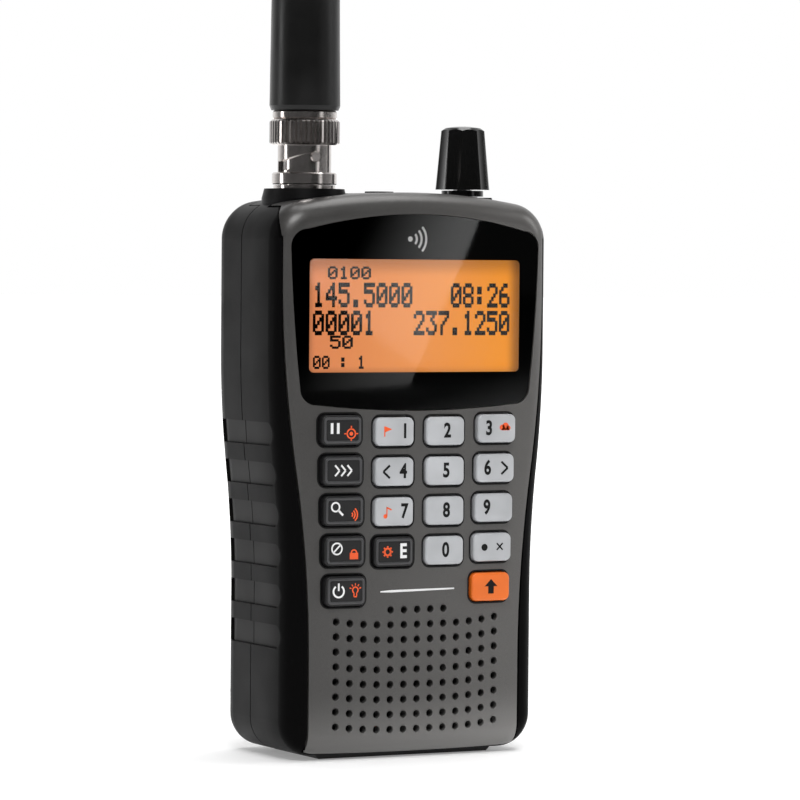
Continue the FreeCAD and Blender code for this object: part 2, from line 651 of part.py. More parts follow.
node(minus("rear_case", rear_solid, tub_inside, door_opening, rear_bores, rear_heads, clip_holes, usb_hole),
     "rear_case")

door_space = box("door_space", ("-door_half", "door_half"), ("door_front_y", "30"), ("-5", "door_top"))
node(overlap("battery_door", outer, door_space), "battery_door")


def foot_corners():
    return [("-19.6", "0"), ("19.6", "0"), ("20.5", "foot_height"), ("-20.5", "foot_height")]


node(front_slab("base_foot", foot_corners(), "-10.6", "9.8"), "base_foot")

# ---- screws ---------------------------------------------------------------------------------

case_screw_solids = []
for shaft, head in zip(screw_rods("case_screw_shaft", "-5.5", "screw_head_y+0.2", "screw_radius"),
                       screw_rods("case_screw_head", "screw_head_y", "screw_head_y+1.3", "screw_head_radius")):
    case_screw_solids.append(joined(head.Name + "_screw", shaft, head))
node(group("case_screws", *case_screw_solids), "case_screws")

board_back = "(control_y+board_thick)"
board_screw_solids = []
for post_index, (post_x, post_z) in enumerate(board_post_places, start=1):
    shaft = rod("board_screw_shaft_%d" % post_index, (post_x, "control_y-3.5", post_z), "board_screw_radius",
                "board_thick+3.6", "Y")
    head = rod("board_screw_head_%d" % post_index, (post_x, board_back, post_z), "board_screw_radius*1.9", "1.2", "Y")
    board_screw_solids.append(joined("board_screw_%d" % post_index, shaft, head))
node(group("board_screws", *board_screw_solids), "board_screws")

# ---- display --------------------------------------------------------------------------------

window_front = depth_block("window_front", "front_y+window_recess", "20")
window_prism = front_slab("window_prism", window_outline("0"), "-30", "window_floor_y-mask_thick")
node(overlap("display_window", window_prism, window_front), "display_window")
mask_plate = front_slab("mask_plate", window_outline("0"), "window_floor_y-mask_thick", "window_floor_y")
view_cut = front_slab("view_cut", rounded("0", "(view_low_z+view_high_z)/2", "2*view_half",
                                          "view_high_z-view_low_z", "view_corner"), "-30", "0")
node(minus("window_mask", mask_plate, view_cut), "window_mask")


def lcd_slab(name, front, back, grow="0"):
    corners = rectangle("-lcd_half-(%s)" % grow, "lcd_half+(%s)" % grow, "lcd_low_z-(%s)" % grow,
                        "lcd_high_z+(%s)" % grow)
    return front_slab(name, corners, front, back)


lcd_back = "(lcd_front_y+lcd_thick)"
light_back = "(%s+backlight_thick)" % lcd_back
node(lcd_slab("lcd_panel", "lcd_front_y", lcd_back), "lcd_panel")
node(lcd_slab("lcd_backlight", lcd_back, light_back), "lcd_backlight")
frame_front = "(ledge_back_y+0.1)"
node(minus("lcd_frame", lcd_slab("frame_block", frame_front, light_back, "lcd_frame_wall"),
           lcd_slab("frame_space", "-30", "0", "0.1")), "lcd_frame")

# ---- boards ---------------------------------------------------------------------------------

control_plate = front_slab("control_plate", rectangle("-control_half", "control_half", "control_low_z",
                                                      "control_high_z"), "control_y", board_back)
screw_sketch = free_sketch("screw_clearance_outline", "XZ_Plane")
for post_x, post_z in board_post_places:
    circle(screw_sketch, post_x, post_z, "board_screw_radius+0.1")
screw_clearance = extruded("screw_clearance", screw_sketch, "20")
node(minus("control_board", control_plate, screw_clearance), "control_board")
node(front_slab("rf_board", rectangle("-radio_half", "radio_half", "radio_low_z", "radio_high_z"), "radio_y",
                "radio_y+board_thick"), "rf_board")
shield_outside = box("shield_outside", ("-16", "16"), ("radio_y+board_thick", "radio_y+board_thick+3.4"),
                     ("70", "94"))
shield_inside = box("shield_inside", ("-15.7", "15.7"), ("radio_y", "radio_y+board_thick+3.1"), ("70.3", "93.7"))
node(minus("rf_shield", shield_outside, shield_inside), "rf_shield")
node(box("board_connector", ("-9", "9"), (board_back, "radio_y"), ("67", "69.5")), "board_connector")

# ---- loudspeaker ----------------------------------------------------------------------------


def turned_forward(name, corners):
    """A body turned about the loudspeaker's axis, from corners given as (radius, depth)."""
    body = new_body(name)
    sketch = body_sketch(body, "XY_Plane", "speaker_z")
    outline(sketch, corners)
    feature = body.newObject("PartDesign::Revolution", name + "_turn")
    feature.Profile = sketch
    feature.ReferenceAxis = (sketch, ["V_Axis"])
    feature.Angle = 360
    return node(body, name)


turned_forward("speaker_basket", [
    ("speaker_radius-2.2", "speaker_front_y"), ("speaker_radius", "speaker_front_y"),
    ("speaker_radius", "speaker_front_y+1"), ("magnet_radius+1.5", "speaker_back_y"),
    ("2.6", "speaker_back_y"), ("2.6", "speaker_back_y-0.6"), ("magnet_radius+1", "speaker_back_y-0.6"),
    ("speaker_radius-2.2", "speaker_front_y+1.1")])
turned_forward("speaker_magnet", [("0", "speaker_back_y"), ("magnet_radius", "speaker_back_y"),
                                  ("magnet_radius", "magnet_back_y"), ("0", "magnet_back_y")])
turned_forward("speaker_cone", [
    ("0", "speaker_front_y+2.1"), ("3", "speaker_front_y+1.9"), ("speaker_radius-2.4", "speaker_front_y+0.2"),
    ("speaker_radius-2.4", "speaker_front_y+0.5"), ("3.4", "speaker_front_y+2.3"),
    ("2.4", "speaker_back_y-0.8"), ("1.9", "speaker_back_y-0.8"), ("1.9", "speaker_front_y+2.5"),
    ("0", "speaker_front_y+2.5")])
cloth_right = [("19.8", "4.2"), ("19.8", "29.9"), ("9.8", "29.9"), ("9.8", "32")]
node(front_slab("speaker_cloth", mirrored(cloth_right), "ledge_front_y+0.1", "speaker_front_y-0.05"),
     "speaker_cloth")

# ---- battery bay ----------------------------------------------------------------------------


def cell(name, x):
    return joined(name, rod(name + "_can", (x, "cell_y", "cell_low_z"), "cell_radius", "cell_length-1.2"),
                  rod(name + "_tip", (x, "cell_y", "cell_low_z+cell_length-1.3"), "2.7", "1.3"))


def spring(name, x):
    """A short compression spring between the bay's floor and a cell."""
    low = number("tub_low_z+tub_wall+0.8")
    high = number("cell_low_z-0.4")
    wire = 0.35
    turns = 3.5
    helix = Part.makeHelix((high - low) / turns, high - low, 2.9)
    profile = Part.Wire(Part.makeCircle(wire, FreeCAD.Vector(2.9, 0, 0), FreeCAD.Vector(0, 1, 0)))
    coil = doc.addObject("Part::Feature", name)
    coil.Shape = Part.Wire(helix).makePipeShell([profile], True, True)
    coil.Placement = FreeCAD.Placement(FreeCAD.Vector(number(x), number("cell_y"), low), FreeCAD.Rotation())
    return coil


node(group("battery_cells", cell("cell_right", "cell_x"), cell("cell_left", "-cell_x")), "battery_cells")
node(group("battery_springs", spring("spring_right", "cell_x"), spring("spring_left", "-cell_x")),
     "battery_springs")
contact_top = "(cell_low_z+cell_length+0.05)"
node(group("battery_contacts",
           box("contact_right", ("cell_x-4", "cell_x+4"), ("cell_y-4", "cell_y+4"),
               (contact_top, contact_top + "+0.4")),
           box("contact_left", ("-cell_x-4", "-cell_x+4"), ("cell_y-4", "cell_y+4"),
               (contact_top, contact_top + "+0.4")),
           box("contact_bridge", ("-cell_x-4", "cell_x+4"), ("cell_y-4", "cell_y+4"),
               ("tub_low_z+tub_wall", "tub_low_z+tub_wall+0.4"))), "battery_contacts")

# ---- antenna socket and plug ----------------------------------------------------------------

socket_turned = revolved("socket_turned", [
    ("barrel_bore", "socket_tail+2"), ("barrel_bore", "barrel_top"), ("barrel_radius", "barrel_top"),
    ("barrel_radius", "socket_flange_top"), ("socket_flange_radius", "socket_flange_top"),
    ("socket_flange_radius", "boss_top"), ("barrel_radius", "boss_top"), ("barrel_radius", "socket_tail"),
    ("1.6", "socket_tail"), ("1.6", "socket_tail+2")][::-1], "antenna_x")
lug_bar = rod("lug_bar", ("antenna_x", "-lug_reach", "lug_z"), "lug_radius", "2*lug_reach", "Y")
lug_gap = rod("lug_gap", ("antenna_x", "0", "lug_z-3"), "barrel_bore+0.1", "6")
node(joined("antenna_socket", socket_turned, minus("socket_lugs", lug_bar, lug_gap)), "antenna_socket")

nut_plate = doc.addObject("Part::Prism", "nut_plate")
nut_plate.Polygon = 6
bind(nut_plate, "Circumradius", "nut_across/sqrt(3)")
nut_plate.Height = 2.3
bind(nut_plate, "Placement.Base.x", "antenna_x")
bind(nut_plate, "Placement.Base.z", "seat_z-2.4")
node(minus("socket_nut", nut_plate, rod("nut_bore", ("antenna_x", "0", "90"), "barrel_radius+0.02", "30")),
     "socket_nut")
insulator_block = rod("insulator_block", ("antenna_x", "0", "socket_tail+2.05"), "barrel_bore-0.02", "13")
insulator_hole = rod("insulator_hole", ("antenna_x", "0", "90"), "1.1", "40")
node(minus("socket_insulator", insulator_block, insulator_hole), "socket_insulator")
contact_rod = rod("contact_rod", ("antenna_x", "0", "socket_tail-2.5"), "1.08", "20.5")
contact_bore = rod("contact_bore", ("antenna_x", "0", "117"), "0.72", "10")
node(minus("socket_contact", contact_rod, contact_bore), "socket_contact")


def polar(radius, degrees):
    angle = math.radians(degrees)
    return FreeCAD.Vector(radius * math.cos(angle), radius * math.sin(angle), 0)


def bayonet_cutters():
    """The sleeve's two slots: a round end at each lug, a helix down from it, and a way out of the rim."""
    radius = number("slot_radius")
    turn = number("slot_turn")
    rise = number("slot_rise")
    inside = number("barrel_radius") - 0.5
    outside = number("sleeve_radius") + 0.6
    corners = [FreeCAD.Vector(inside, 0, -radius), FreeCAD.Vector(outside, 0, -radius),
               FreeCAD.Vector(outside, 0, radius), FreeCAD.Vector(inside, 0, radius)]
    section = Part.makePolygon(corners + corners[:1])
    helix = Part.makeHelix(rise * 360 / turn, rise, (inside + outside) / 2)
    ramp = Part.Wire(helix).makePipeShell([section], True, True)
    ramp.rotate(FreeCAD.Vector(), FreeCAD.Vector(0, 0, 1), -turn)
    ramp.translate(FreeCAD.Vector(0, 0, number("lug_z") - rise))
    low = number("sleeve_bottom") - 1
    high = number("lug_z") - rise + radius
    entry = Part.makeBox(number("lug_reach") + 0.15 - inside, 2 * radius, high - low)
    entry.translate(FreeCAD.Vector(inside, -radius, low))
    entry.rotate(FreeCAD.Vector(), FreeCAD.Vector(0, 0, 1), -turn)
    cutters = []
    for name, solid in (("bayonet_ramps", ramp), ("bayonet_entries", entry)):
        solid.rotate(FreeCAD.Vector(), FreeCAD.Vector(0, 0, 1), -90)
        other = solid.copy()
        other.rotate(FreeCAD.Vector(), FreeCAD.Vector(0, 0, 1), 180)
        cutter = doc.addObject("Part::Feature", name)
        cutter.Shape = Part.makeCompound([solid, other])
        cutter.Placement = FreeCAD.Placement(FreeCAD.Vector(number("antenna_x"), 0, 0), FreeCAD.Rotation())
        cutters.append(cutter)
    cutters.append(rod("bayonet_ends", ("antenna_x", "-10", "lug_z"), "slot_radius", "20", "Y"))
    return cutters


def knurled_ring():
    """The grip of the sleeve: a ring with V-shaped flutes all round and bevelled ends."""
    ring = revolved("knurl_ring", [
        ("sleeve_radius-0.3", "knurl_bottom"), ("knurl_radius-0.5", "knurl_bottom"),
        ("knurl_radius", "knurl_bottom+0.5"), ("knurl_radius", "knurl_top-0.5"),
        ("knurl_radius-0.5", "knurl_top"), ("sleeve_radius-0.3", "knurl_top")], "antenna_x")
    teeth = int(SIZES["knurl_teeth"])
    outside = number("knurl_radius") + 0.3
    root = number("knurl_radius-knurl_depth")
    low = number("knurl_bottom") - 1
    flutes = []
    for tooth in range(teeth):
        middle = 360 / teeth * tooth
        corners = [polar(outside, middle - 170 / teeth), polar(outside, middle + 170 / teeth), polar(root, middle)]
        corners = [corner + FreeCAD.Vector(number("antenna_x"), 0, low) for corner in corners]
        face = Part.Face(Part.makePolygon(corners + corners[:1]))
        flutes.append(face.extrude(FreeCAD.Vector(0, 0, number("knurl_top-knurl_bottom") + 2)))
    cutter = doc.addObject("Part::Feature", "knurl_flutes")
    cutter.Shape = Part.makeCompound(flutes)
    return minus("knurled_ring", ring, cutter)


sleeve_turned = revolved("sleeve_turned", [
    ("sleeve_bore", "sleeve_bottom"), ("rim_radius-0.2", "sleeve_bottom"), ("rim_radius", "sleeve_bottom+0.2"),
    ("rim_radius", "rim_top-0.3"), ("rim_radius-0.3", "rim_top"), ("sleeve_radius", "rim_top"),
    ("sleeve_radius", "knurl_top-0.1"), ("shank_radius+0.15", "knurl_top-0.1"),
    ("shank_radius+0.15", "washer_high+0.1"), ("sleeve_bore", "washer_high+0.1")], "antenna_x")
node(minus("coupling_sleeve", joined("sleeve_whole", sleeve_turned, knurled_ring()), *bayonet_cutters()),
     "coupling_sleeve")
node(revolved("plug_washer", [
    ("shank_radius+0.06", "collar_high+0.1"), ("sleeve_bore-0.08", "collar_high+0.1"),
    ("sleeve_bore-0.08", "washer_high"), ("shank_radius+0.06", "washer_high")], "antenna_x"), "plug_washer")
node(revolved("plug_body", [
    ("shank_radius-1", "119.4"), ("shank_radius-0.05", "119.4"), ("shank_radius-0.05", "collar_low"),
    ("sleeve_bore-0.08", "collar_low"), ("sleeve_bore-0.08", "collar_high"), ("shank_radius", "collar_high"),
    ("shank_radius", "knurl_top+0.05"), ("ring_radius-0.3", "knurl_top+0.05"),
    ("ring_radius", "knurl_top+0.35"), ("ring_radius", "ring_top-0.4"), ("ring_radius-0.4", "ring_top"),
    ("shank_radius-0.5", "ring_top"), ("shank_radius-0.5", "post_top"), ("1.6", "post_top"),
    ("1.6", "collar_high"), ("shank_radius-1", "collar_high")], "antenna_x"), "plug_body")
node(revolved("plug_pin", [
    ("0", "118.4"), ("0.4", "118.4"), ("0.65", "119.2"), ("0.65", "124.5"), ("1.5", "125.2"),
    ("1.5", "post_top-1"), ("0", "post_top-1")], "antenna_x"), "plug_pin")
sheath_tip = "(antenna_top-sheath_top_radius)"
node(revolved("antenna_sheath", [
    ("shank_radius-0.45", "ring_top+0.02"), ("sheath_low_radius-0.35", "ring_top+0.02"),
    ("sheath_low_radius", "ring_top+0.9"), ("sheath_mid_radius", "sheath_mid_z"),
    ("sheath_top_radius", sheath_tip, "sheath_top_radius"), ("0", "antenna_top"),
    ("0", "antenna_top-5"), ("core_radius+0.1", "antenna_top-5"), ("core_radius+0.1", "post_top+0.1"),
    ("shank_radius-0.45", "post_top+0.1")], "antenna_x"), "antenna_sheath")
node(rod("antenna_core", ("antenna_x", "0", "post_top+0.2"), "core_radius", "antenna_top-5.3-post_top"),
     "antenna_core")

# ---- volume and squelch ---------------------------------------------------------------------


def fluted_outline(sketch):
    """Narrow ridges with shallow hollows between them."""
    count = int(SIZES["flute_count"])
    corners = []
    for index in range(count):
        middle = 360 / count * index
        for offset, bend in ((-4, "knob_radius"), (4, "-9")):
            angle = math.radians(middle + offset)
            corners.append(("knob_radius*(%.6f)" % math.cos(angle), "knob_radius*(%.6f)" % math.sin(angle), bend))
    outline(sketch, corners)


knob_body = new_body("knob_block")
knob_sketch = body_sketch(knob_body, "XY_Plane", "knob_bottom")
fluted_outline(knob_sketch)
pad(knob_body, knob_sketch, "knob_top-knob_bottom", "-knob_taper")
bind(knob_body, "Placement.Base.x", "knob_x")
knob_crown = revolved("knob_crown", [
    ("0", "knob_bottom-1"), ("8", "knob_bottom-1"), ("8", "knob_top-3.4"), ("knob_radius-2", "knob_top-0.35", "20"),
    ("0", "knob_top")], "knob_x")
knob_round = overlap("knob_round", knob_body, knob_crown)
node(minus("volume_knob", knob_round, rod("knob_bore", ("knob_x", "0", "knob_bottom-1"),
                                          "shaft_radius+0.02", "9.5")), "volume_knob")
node(rod("volume_shaft", ("knob_x", "0", "seat_z"), "shaft_radius", "knob_bottom+8-seat_z"),
     "volume_shaft")
node(revolved("squelch_ring", [
    ("sleeve_shaft_radius+0.02", "squelch_bottom"), ("squelch_radius", "squelch_bottom"),
    ("squelch_radius", "squelch_top"), ("sleeve_shaft_radius+0.02", "squelch_top")], "knob_x"), "squelch_ring")
node(revolved("squelch_sleeve", [
    ("shaft_radius+bore_clearance", "seat_z"), ("sleeve_shaft_radius", "seat_z"),
    ("sleeve_shaft_radius", "squelch_top-0.1"), ("shaft_radius+bore_clearance", "squelch_top-0.1")], "knob_x"),
     "squelch_sleeve")
node(box("volume_control", ("knob_x-6.5", "knob_x+6.5"), ("-6.4", "6.4"), ("seat_z-9.2", "seat_z-0.1")),
     "volume_control")

# ---- sockets --------------------------------------------------------------------------------

jack_block = joined("jack_block", box("jack_base", ("jack_x-jack_half", "jack_x+jack_half"),
                                      ("jack_y-jack_half", "jack_y+jack_half"), ("roof_z-12", "roof_z-0.1")),
                    rod("jack_tube", ("jack_x", "jack_y", "roof_z-2"), "jack_half", "case_top+0.3-roof_z+2"))
jack_bore = rod("jack_bore_rod", ("jack_x", "jack_y", "roof_z-10"), "jack_bore", "30")
node(minus("headphone_jack", jack_block, jack_bore), "headphone_jack")
usb_outside = box("usb_outside", ("radio_half-2", "upper_half-wall-0.1"), ("-usb_deep_half", "usb_deep_half"),
                  ("usb_z-usb_half", "usb_z+usb_half"))
usb_inside = box("usb_inside", ("radio_half-1.2", "50"), ("-usb_deep_half+usb_wall", "usb_deep_half-usb_wall"),
                 ("usb_z-usb_half+usb_wall", "usb_z+usb_half-usb_wall"))
usb_tongue = box("usb_tongue", ("radio_half-1.4", "upper_half-wall-2"), ("-0.5", "0.5"),
                 ("usb_z-2.4", "usb_z+2.4"))
node(joined("usb_socket", minus("usb_shell", usb_outside, usb_inside), usb_tongue), "usb_socket")

# ---- checks and export ----------------------------------------------------------------------

doc.recompute()
failed = [thing.Name for thing in doc.Objects if "Invalid" in thing.State or "Error" in thing.State]
if failed:
    raise RuntimeError("failed objects: " + ", ".join(failed))
os.makedirs("parts", exist_ok=True)
for thing in NODES:
    shape = thing.Shape
    if shape.isNull() or not shape.isValid() or not shape.Solids:
        raise RuntimeError("bad shape: " + thing.Label)
for thing in NODES:
    thing.Shape.exportStep("parts/%s.step" % thing.Label)
    extent = thing.Shape.BoundBox
    print("%-18s solids %d volume %9.1f  X %7.2f %7.2f  Y %7.2f %7.2f  Z %7.2f %7.2f" % (
        thing.Label, len(thing.Shape.Solids), thing.Shape.Volume, extent.XMin, extent.XMax, extent.YMin, extent.YMax,
        extent.ZMin, extent.ZMax))
print(len(NODES), "nodes")
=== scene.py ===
import json
import math

import bmesh
import bpy
from mathutils import Matrix, Vector


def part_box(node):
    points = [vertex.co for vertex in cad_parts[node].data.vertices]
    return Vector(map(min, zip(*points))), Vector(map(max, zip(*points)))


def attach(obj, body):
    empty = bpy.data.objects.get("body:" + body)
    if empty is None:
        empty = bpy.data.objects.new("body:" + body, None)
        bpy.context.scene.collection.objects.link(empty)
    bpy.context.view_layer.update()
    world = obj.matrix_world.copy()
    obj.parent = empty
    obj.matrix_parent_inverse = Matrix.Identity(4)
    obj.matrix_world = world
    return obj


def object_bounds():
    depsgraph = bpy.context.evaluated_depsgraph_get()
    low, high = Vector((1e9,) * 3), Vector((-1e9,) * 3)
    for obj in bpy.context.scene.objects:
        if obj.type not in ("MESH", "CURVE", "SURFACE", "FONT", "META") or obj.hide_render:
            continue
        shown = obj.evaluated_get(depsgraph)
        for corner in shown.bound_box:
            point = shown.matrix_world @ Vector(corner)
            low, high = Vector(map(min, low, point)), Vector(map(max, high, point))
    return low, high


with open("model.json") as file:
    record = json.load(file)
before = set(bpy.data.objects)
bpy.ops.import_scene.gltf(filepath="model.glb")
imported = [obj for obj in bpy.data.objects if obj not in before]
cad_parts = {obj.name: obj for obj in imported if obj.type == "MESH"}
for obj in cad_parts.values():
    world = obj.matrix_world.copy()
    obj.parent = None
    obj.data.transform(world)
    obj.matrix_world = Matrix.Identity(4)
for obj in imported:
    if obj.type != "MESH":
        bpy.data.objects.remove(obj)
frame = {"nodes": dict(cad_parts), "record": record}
cad_low, cad_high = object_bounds()

MM = 0.001
NODES = frame["nodes"]
FILM = 0.03 * MM            # thickness of a printed mark
HANDSET = "handset"


# ---- small helpers --------------------------------------------------------------------------


def link(piece, body):
    bpy.context.scene.collection.objects.link(piece)
    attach(piece, body)
    return piece


def mesh_piece(name, vertices, faces, material, body, smooth=False):
    mesh = bpy.data.meshes.new(name)
    mesh.from_pydata([tuple(v) for v in vertices], [], faces)
    mesh.update()
    if smooth:
        mesh.shade_smooth()
    mesh.materials.append(material)
    return link(bpy.data.objects.new(name, mesh), body)


# ---- materials ------------------------------------------------------------------------------


def ramp_from(finish_nodes, links, value, low, high, to_low, to_high):
    """A smooth step between two values."""
    ramp = finish_nodes.new("ShaderNodeMapRange")
    ramp.interpolation_type = "SMOOTHSTEP"
    ramp.inputs["From Min"].default_value = low
    ramp.inputs["From Max"].default_value = high
    ramp.inputs["To Min"].default_value = to_low
    ramp.inputs["To Max"].default_value = to_high
    links.new(value, ramp.inputs["Value"])
    return ramp.outputs["Result"]


class Finish:
    """A Principled material whose colour, roughness and bump come from noise at real scale."""

    def __init__(self, name, colour, roughness, metallic=0.0):
        self.material = bpy.data.materials.new(name)
        self.material.use_nodes = True
        self.nodes = self.material.node_tree.nodes
        self.links = self.material.node_tree.links
        self.shader = self.nodes["Principled BSDF"]
        self.colour = colour
        self.shader.inputs["Base Color"].default_value = (*colour, 1)
        self.shader.inputs["Roughness"].default_value = roughness
        self.shader.inputs["Metallic"].default_value = metallic
        self.place = self.nodes.new("ShaderNodeTexCoord").outputs["Object"]

    def noise(self, size_mm, detail=2.0, stretch=(1, 1, 1)):
        mapping = self.nodes.new("ShaderNodeMapping")
        mapping.inputs["Scale"].default_value = stretch
        self.links.new(self.place, mapping.inputs["Vector"])
        noise = self.nodes.new("ShaderNodeTexNoise")
        noise.inputs["Scale"].default_value = 1 / (size_mm * MM)
        noise.inputs["Detail"].default_value = detail
        self.links.new(mapping.outputs["Vector"], noise.inputs["Vector"])
        return noise.outputs["Fac"]

    def spread(self, fac, low, high):
        """Stretches the middle of a noise, where most of its values lie, over the whole range."""
        return self.slope(fac, 0.3, 0.7, low, high)

    def mottle(self, fac, share):
        """Colour that varies by a share either way."""
        darker = tuple(c * (1 - share) for c in self.colour)
        paler = tuple(min(1, c * (1 + share)) for c in self.colour)
        self.links.new(self.blend(self.spread(fac, 0, 1), darker, paler), self.shader.inputs["Base Color"])
        return self

    def gloss(self, fac, low, high):
        self.links.new(self.spread(fac, low, high), self.shader.inputs["Roughness"])
        return self

    def bump(self, fac, depth_mm, strength=1.0):
        bump = self.nodes.new("ShaderNodeBump")
        bump.inputs["Strength"].default_value = strength
        bump.inputs["Distance"].default_value = depth_mm * MM
        self.links.new(fac, bump.inputs["Height"])
        self.links.new(bump.outputs["Normal"], self.shader.inputs["Normal"])
        return self

    def slope(self, value, low, high, to_low, to_high):
        """A straight ramp between two values."""
        ramp = self.nodes.new("ShaderNodeMapRange")
        ramp.inputs["From Min"].default_value = low
        ramp.inputs["From Max"].default_value = high
        ramp.inputs["To Min"].default_value = to_low
        ramp.inputs["To Max"].default_value = to_high
        self.links.new(value, ramp.inputs["Value"])
        return ramp.outputs["Result"]

    def math(self, operation, first, second=None):
        node = self.nodes.new("ShaderNodeMath")
        node.operation = operation
        for socket, value in zip(node.inputs, (first, second)):
            if isinstance(value, (int, float)):
                socket.default_value = value
            elif value is not None:
                self.links.new(value, socket)
        return node.outputs[0]

    def blend(self, factor, first, second):
        """A mix of two colours, each given as numbers or as another node's output."""
        mix = self.nodes.new("ShaderNodeMix")
        mix.data_type = "RGBA"
        self.links.new(factor, mix.inputs["Factor"])
        for socket, colour in ((mix.inputs["A"], first), (mix.inputs["B"], second)):
            if isinstance(colour, tuple):
                socket.default_value = (*colour, 1)
            else:
                self.links.new(colour, socket)
        return mix.outputs["Result"]

    def set(self, **values):
        for name, value in values.items():
            self.shader.inputs[name.replace("_", " ")].default_value = value
        return self


def moulded(name, colour, roughness, grain_mm=0.25, depth_mm=0.01, metallic=0.0):
    """Moulded plastic or rubber: a fine grain, a little mottling and slightly uneven gloss."""
    finish = Finish(name, colour, roughness, metallic)
    fine = finish.noise(grain_mm)
    broad = finish.noise(9)
    finish.mottle(broad, 0.12).gloss(broad, roughness - 0.05, roughness + 0.06).bump(fine, depth_mm)
    return finish


def case_plastic():
    """Black plastic whose finger grooves are drawn paler than the ribs between them; painted shade darkens
    the plastic, grooves too, towards the front corners, where its shine is also weaker.
    """
    # the first colour is painted shade for the front corners, the second the plastic's own black, the third
    # the paler grooves
    painted_corner_shade, dark, pale = (0.0026, 0.0025, 0.0026), (0.0065, 0.0063, 0.0065), (0.026, 0.0255, 0.0255)
    finish = Finish("case_black", dark, 0.42)
    parts = finish.nodes.new("ShaderNodeSeparateXYZ")
    finish.links.new(finish.place, parts.inputs["Vector"])
    top, pitch, count, half, nose = 66.7 * MM, 8.28 * MM, 6, 2.4 * MM, -9.4 * MM
    least_x, back_start, back_end = 24 * MM, 11.5 * MM, 13.5 * MM
    corner_y, panel_y = -14 * MM, -1 * MM
    from_top = finish.math("SUBTRACT", top + pitch / 2, parts.outputs["Z"])
    share = finish.math("FRACT", finish.math("DIVIDE", from_top, pitch))
    up = finish.math("MULTIPLY", finish.math("SUBTRACT", share, 0.5), pitch)
    forward = finish.math("MAXIMUM", finish.math("SUBTRACT", nose, parts.outputs["Y"]), 0.0)
    reach = finish.math("SQRT", finish.math("ADD", finish.math("MULTIPLY", up, up),
                                            finish.math("MULTIPLY", forward, forward)))
    inside = ramp_from(finish.nodes, finish.links, reach, half - 0.25 * MM, half + 0.05 * MM, 1, 0)
    in_rows = finish.math("MULTIPLY", finish.math("GREATER_THAN", from_top, 0.0),
                          finish.math("LESS_THAN", from_top, count * pitch))
    sideways = finish.math("GREATER_THAN", finish.math("ABSOLUTE", parts.outputs["X"]), least_x)
    not_behind = ramp_from(finish.nodes, finish.links, parts.outputs["Y"], back_start, back_end, 1, 0)
    on_side = finish.math("MULTIPLY", sideways, not_behind)
    in_groove = finish.math("MULTIPLY", finish.math("MULTIPLY", inside, in_rows), on_side)
    # painted shade: the colour darkens from the side panel towards the front corner
    painted_shade = ramp_from(finish.nodes, finish.links, parts.outputs["Y"], corner_y, panel_y, 0, 1)
    body = finish.blend(painted_shade, painted_corner_shade, dark)
    groove = finish.blend(painted_shade, dark, pale)
    finish.links.new(finish.blend(in_groove, body, groove), finish.shader.inputs["Base Color"])
    # the shine weakens towards the front corner in the same way
    shine = ramp_from(finish.nodes, finish.links, parts.outputs["Y"], corner_y, panel_y, 0.02, 0.07)
    finish.links.new(shine, finish.shader.inputs["Specular IOR Level"])
    broad = finish.noise(9)
    finish.gloss(broad, 0.36, 0.46).bump(finish.noise(0.22), 0.008)
    return finish.material


def matt(finish):
    """The same finish with a weaker shine."""
    return finish.set(Specular_IOR_Level=0.3).material


def satin_paint():
    """Metallic grey paint: fine flakes over a smooth satin coat, with a painted highlight that makes it paler
    towards the foot and painted light and shade that make it darker at the left and paler at the right.
    """
    finish = Finish("bezel_paint", (0.082, 0.079, 0.076), 0.36, 0.35)
    flakes = finish.noise(0.12, 1.0)
    broad = finish.noise(14)
    finish.mottle(flakes, 0.16).gloss(broad, 0.32, 0.42).bump(flakes, 0.0016)
    finish.set(Coat_Weight=0.15, Coat_Roughness=0.3)
    parts = finish.nodes.new("ShaderNodeSeparateXYZ")
    finish.links.new(finish.place, parts.inputs["Vector"])
    # painted highlight: the paint is mixed towards a paler grey over the lowest 15 mm
    foot_z, fade_z, foot_highlight_most = 2 * MM, 15 * MM, 0.75
    foot_highlight = ramp_from(finish.nodes, finish.links, parts.outputs["Z"], foot_z, fade_z, foot_highlight_most, 0.0)
    painted = finish.shader.inputs["Base Color"].links[0].from_socket
    paler = finish.blend(foot_highlight, painted, (0.20, 0.196, 0.19))
    # painted light and shade: the paint's colour is scaled from 0.68 at the left edge to 1.2 at the right
    # edge
    edge, left_shade, right_light = 26 * MM, 0.68, 1.2
    across = finish.slope(parts.outputs["X"], -edge, edge, left_shade, right_light)
    side_lit = finish.nodes.new("ShaderNodeVectorMath")
    side_lit.operation = "SCALE"
    finish.links.new(paler, side_lit.inputs["Vector"])
    finish.links.new(across, side_lit.inputs["Scale"])
    finish.links.new(side_lit.outputs["Vector"], finish.shader.inputs["Base Color"])
    return finish.material


def plated(name, colour, roughness):
    """Bright plating with faint turning marks."""
    finish = Finish(name, colour, roughness, 1.0)
    turned = finish.noise(0.5, 3.0, (1, 1, 40))
    finish.mottle(finish.noise(3), 0.06)
    finish.gloss(turned, roughness - 0.04, roughness + 0.08).bump(turned, 0.0012)
    return finish.material


def window_material():
    """Clear hard-coated acrylic."""
    finish = Finish("window_clear", (1, 1, 1), 0.02)
    smear = finish.noise(12, 1.0)
    finish.gloss(smear, 0.012, 0.03)
    finish.set(Transmission_Weight=1.0, IOR=1.47)
    return finish.material


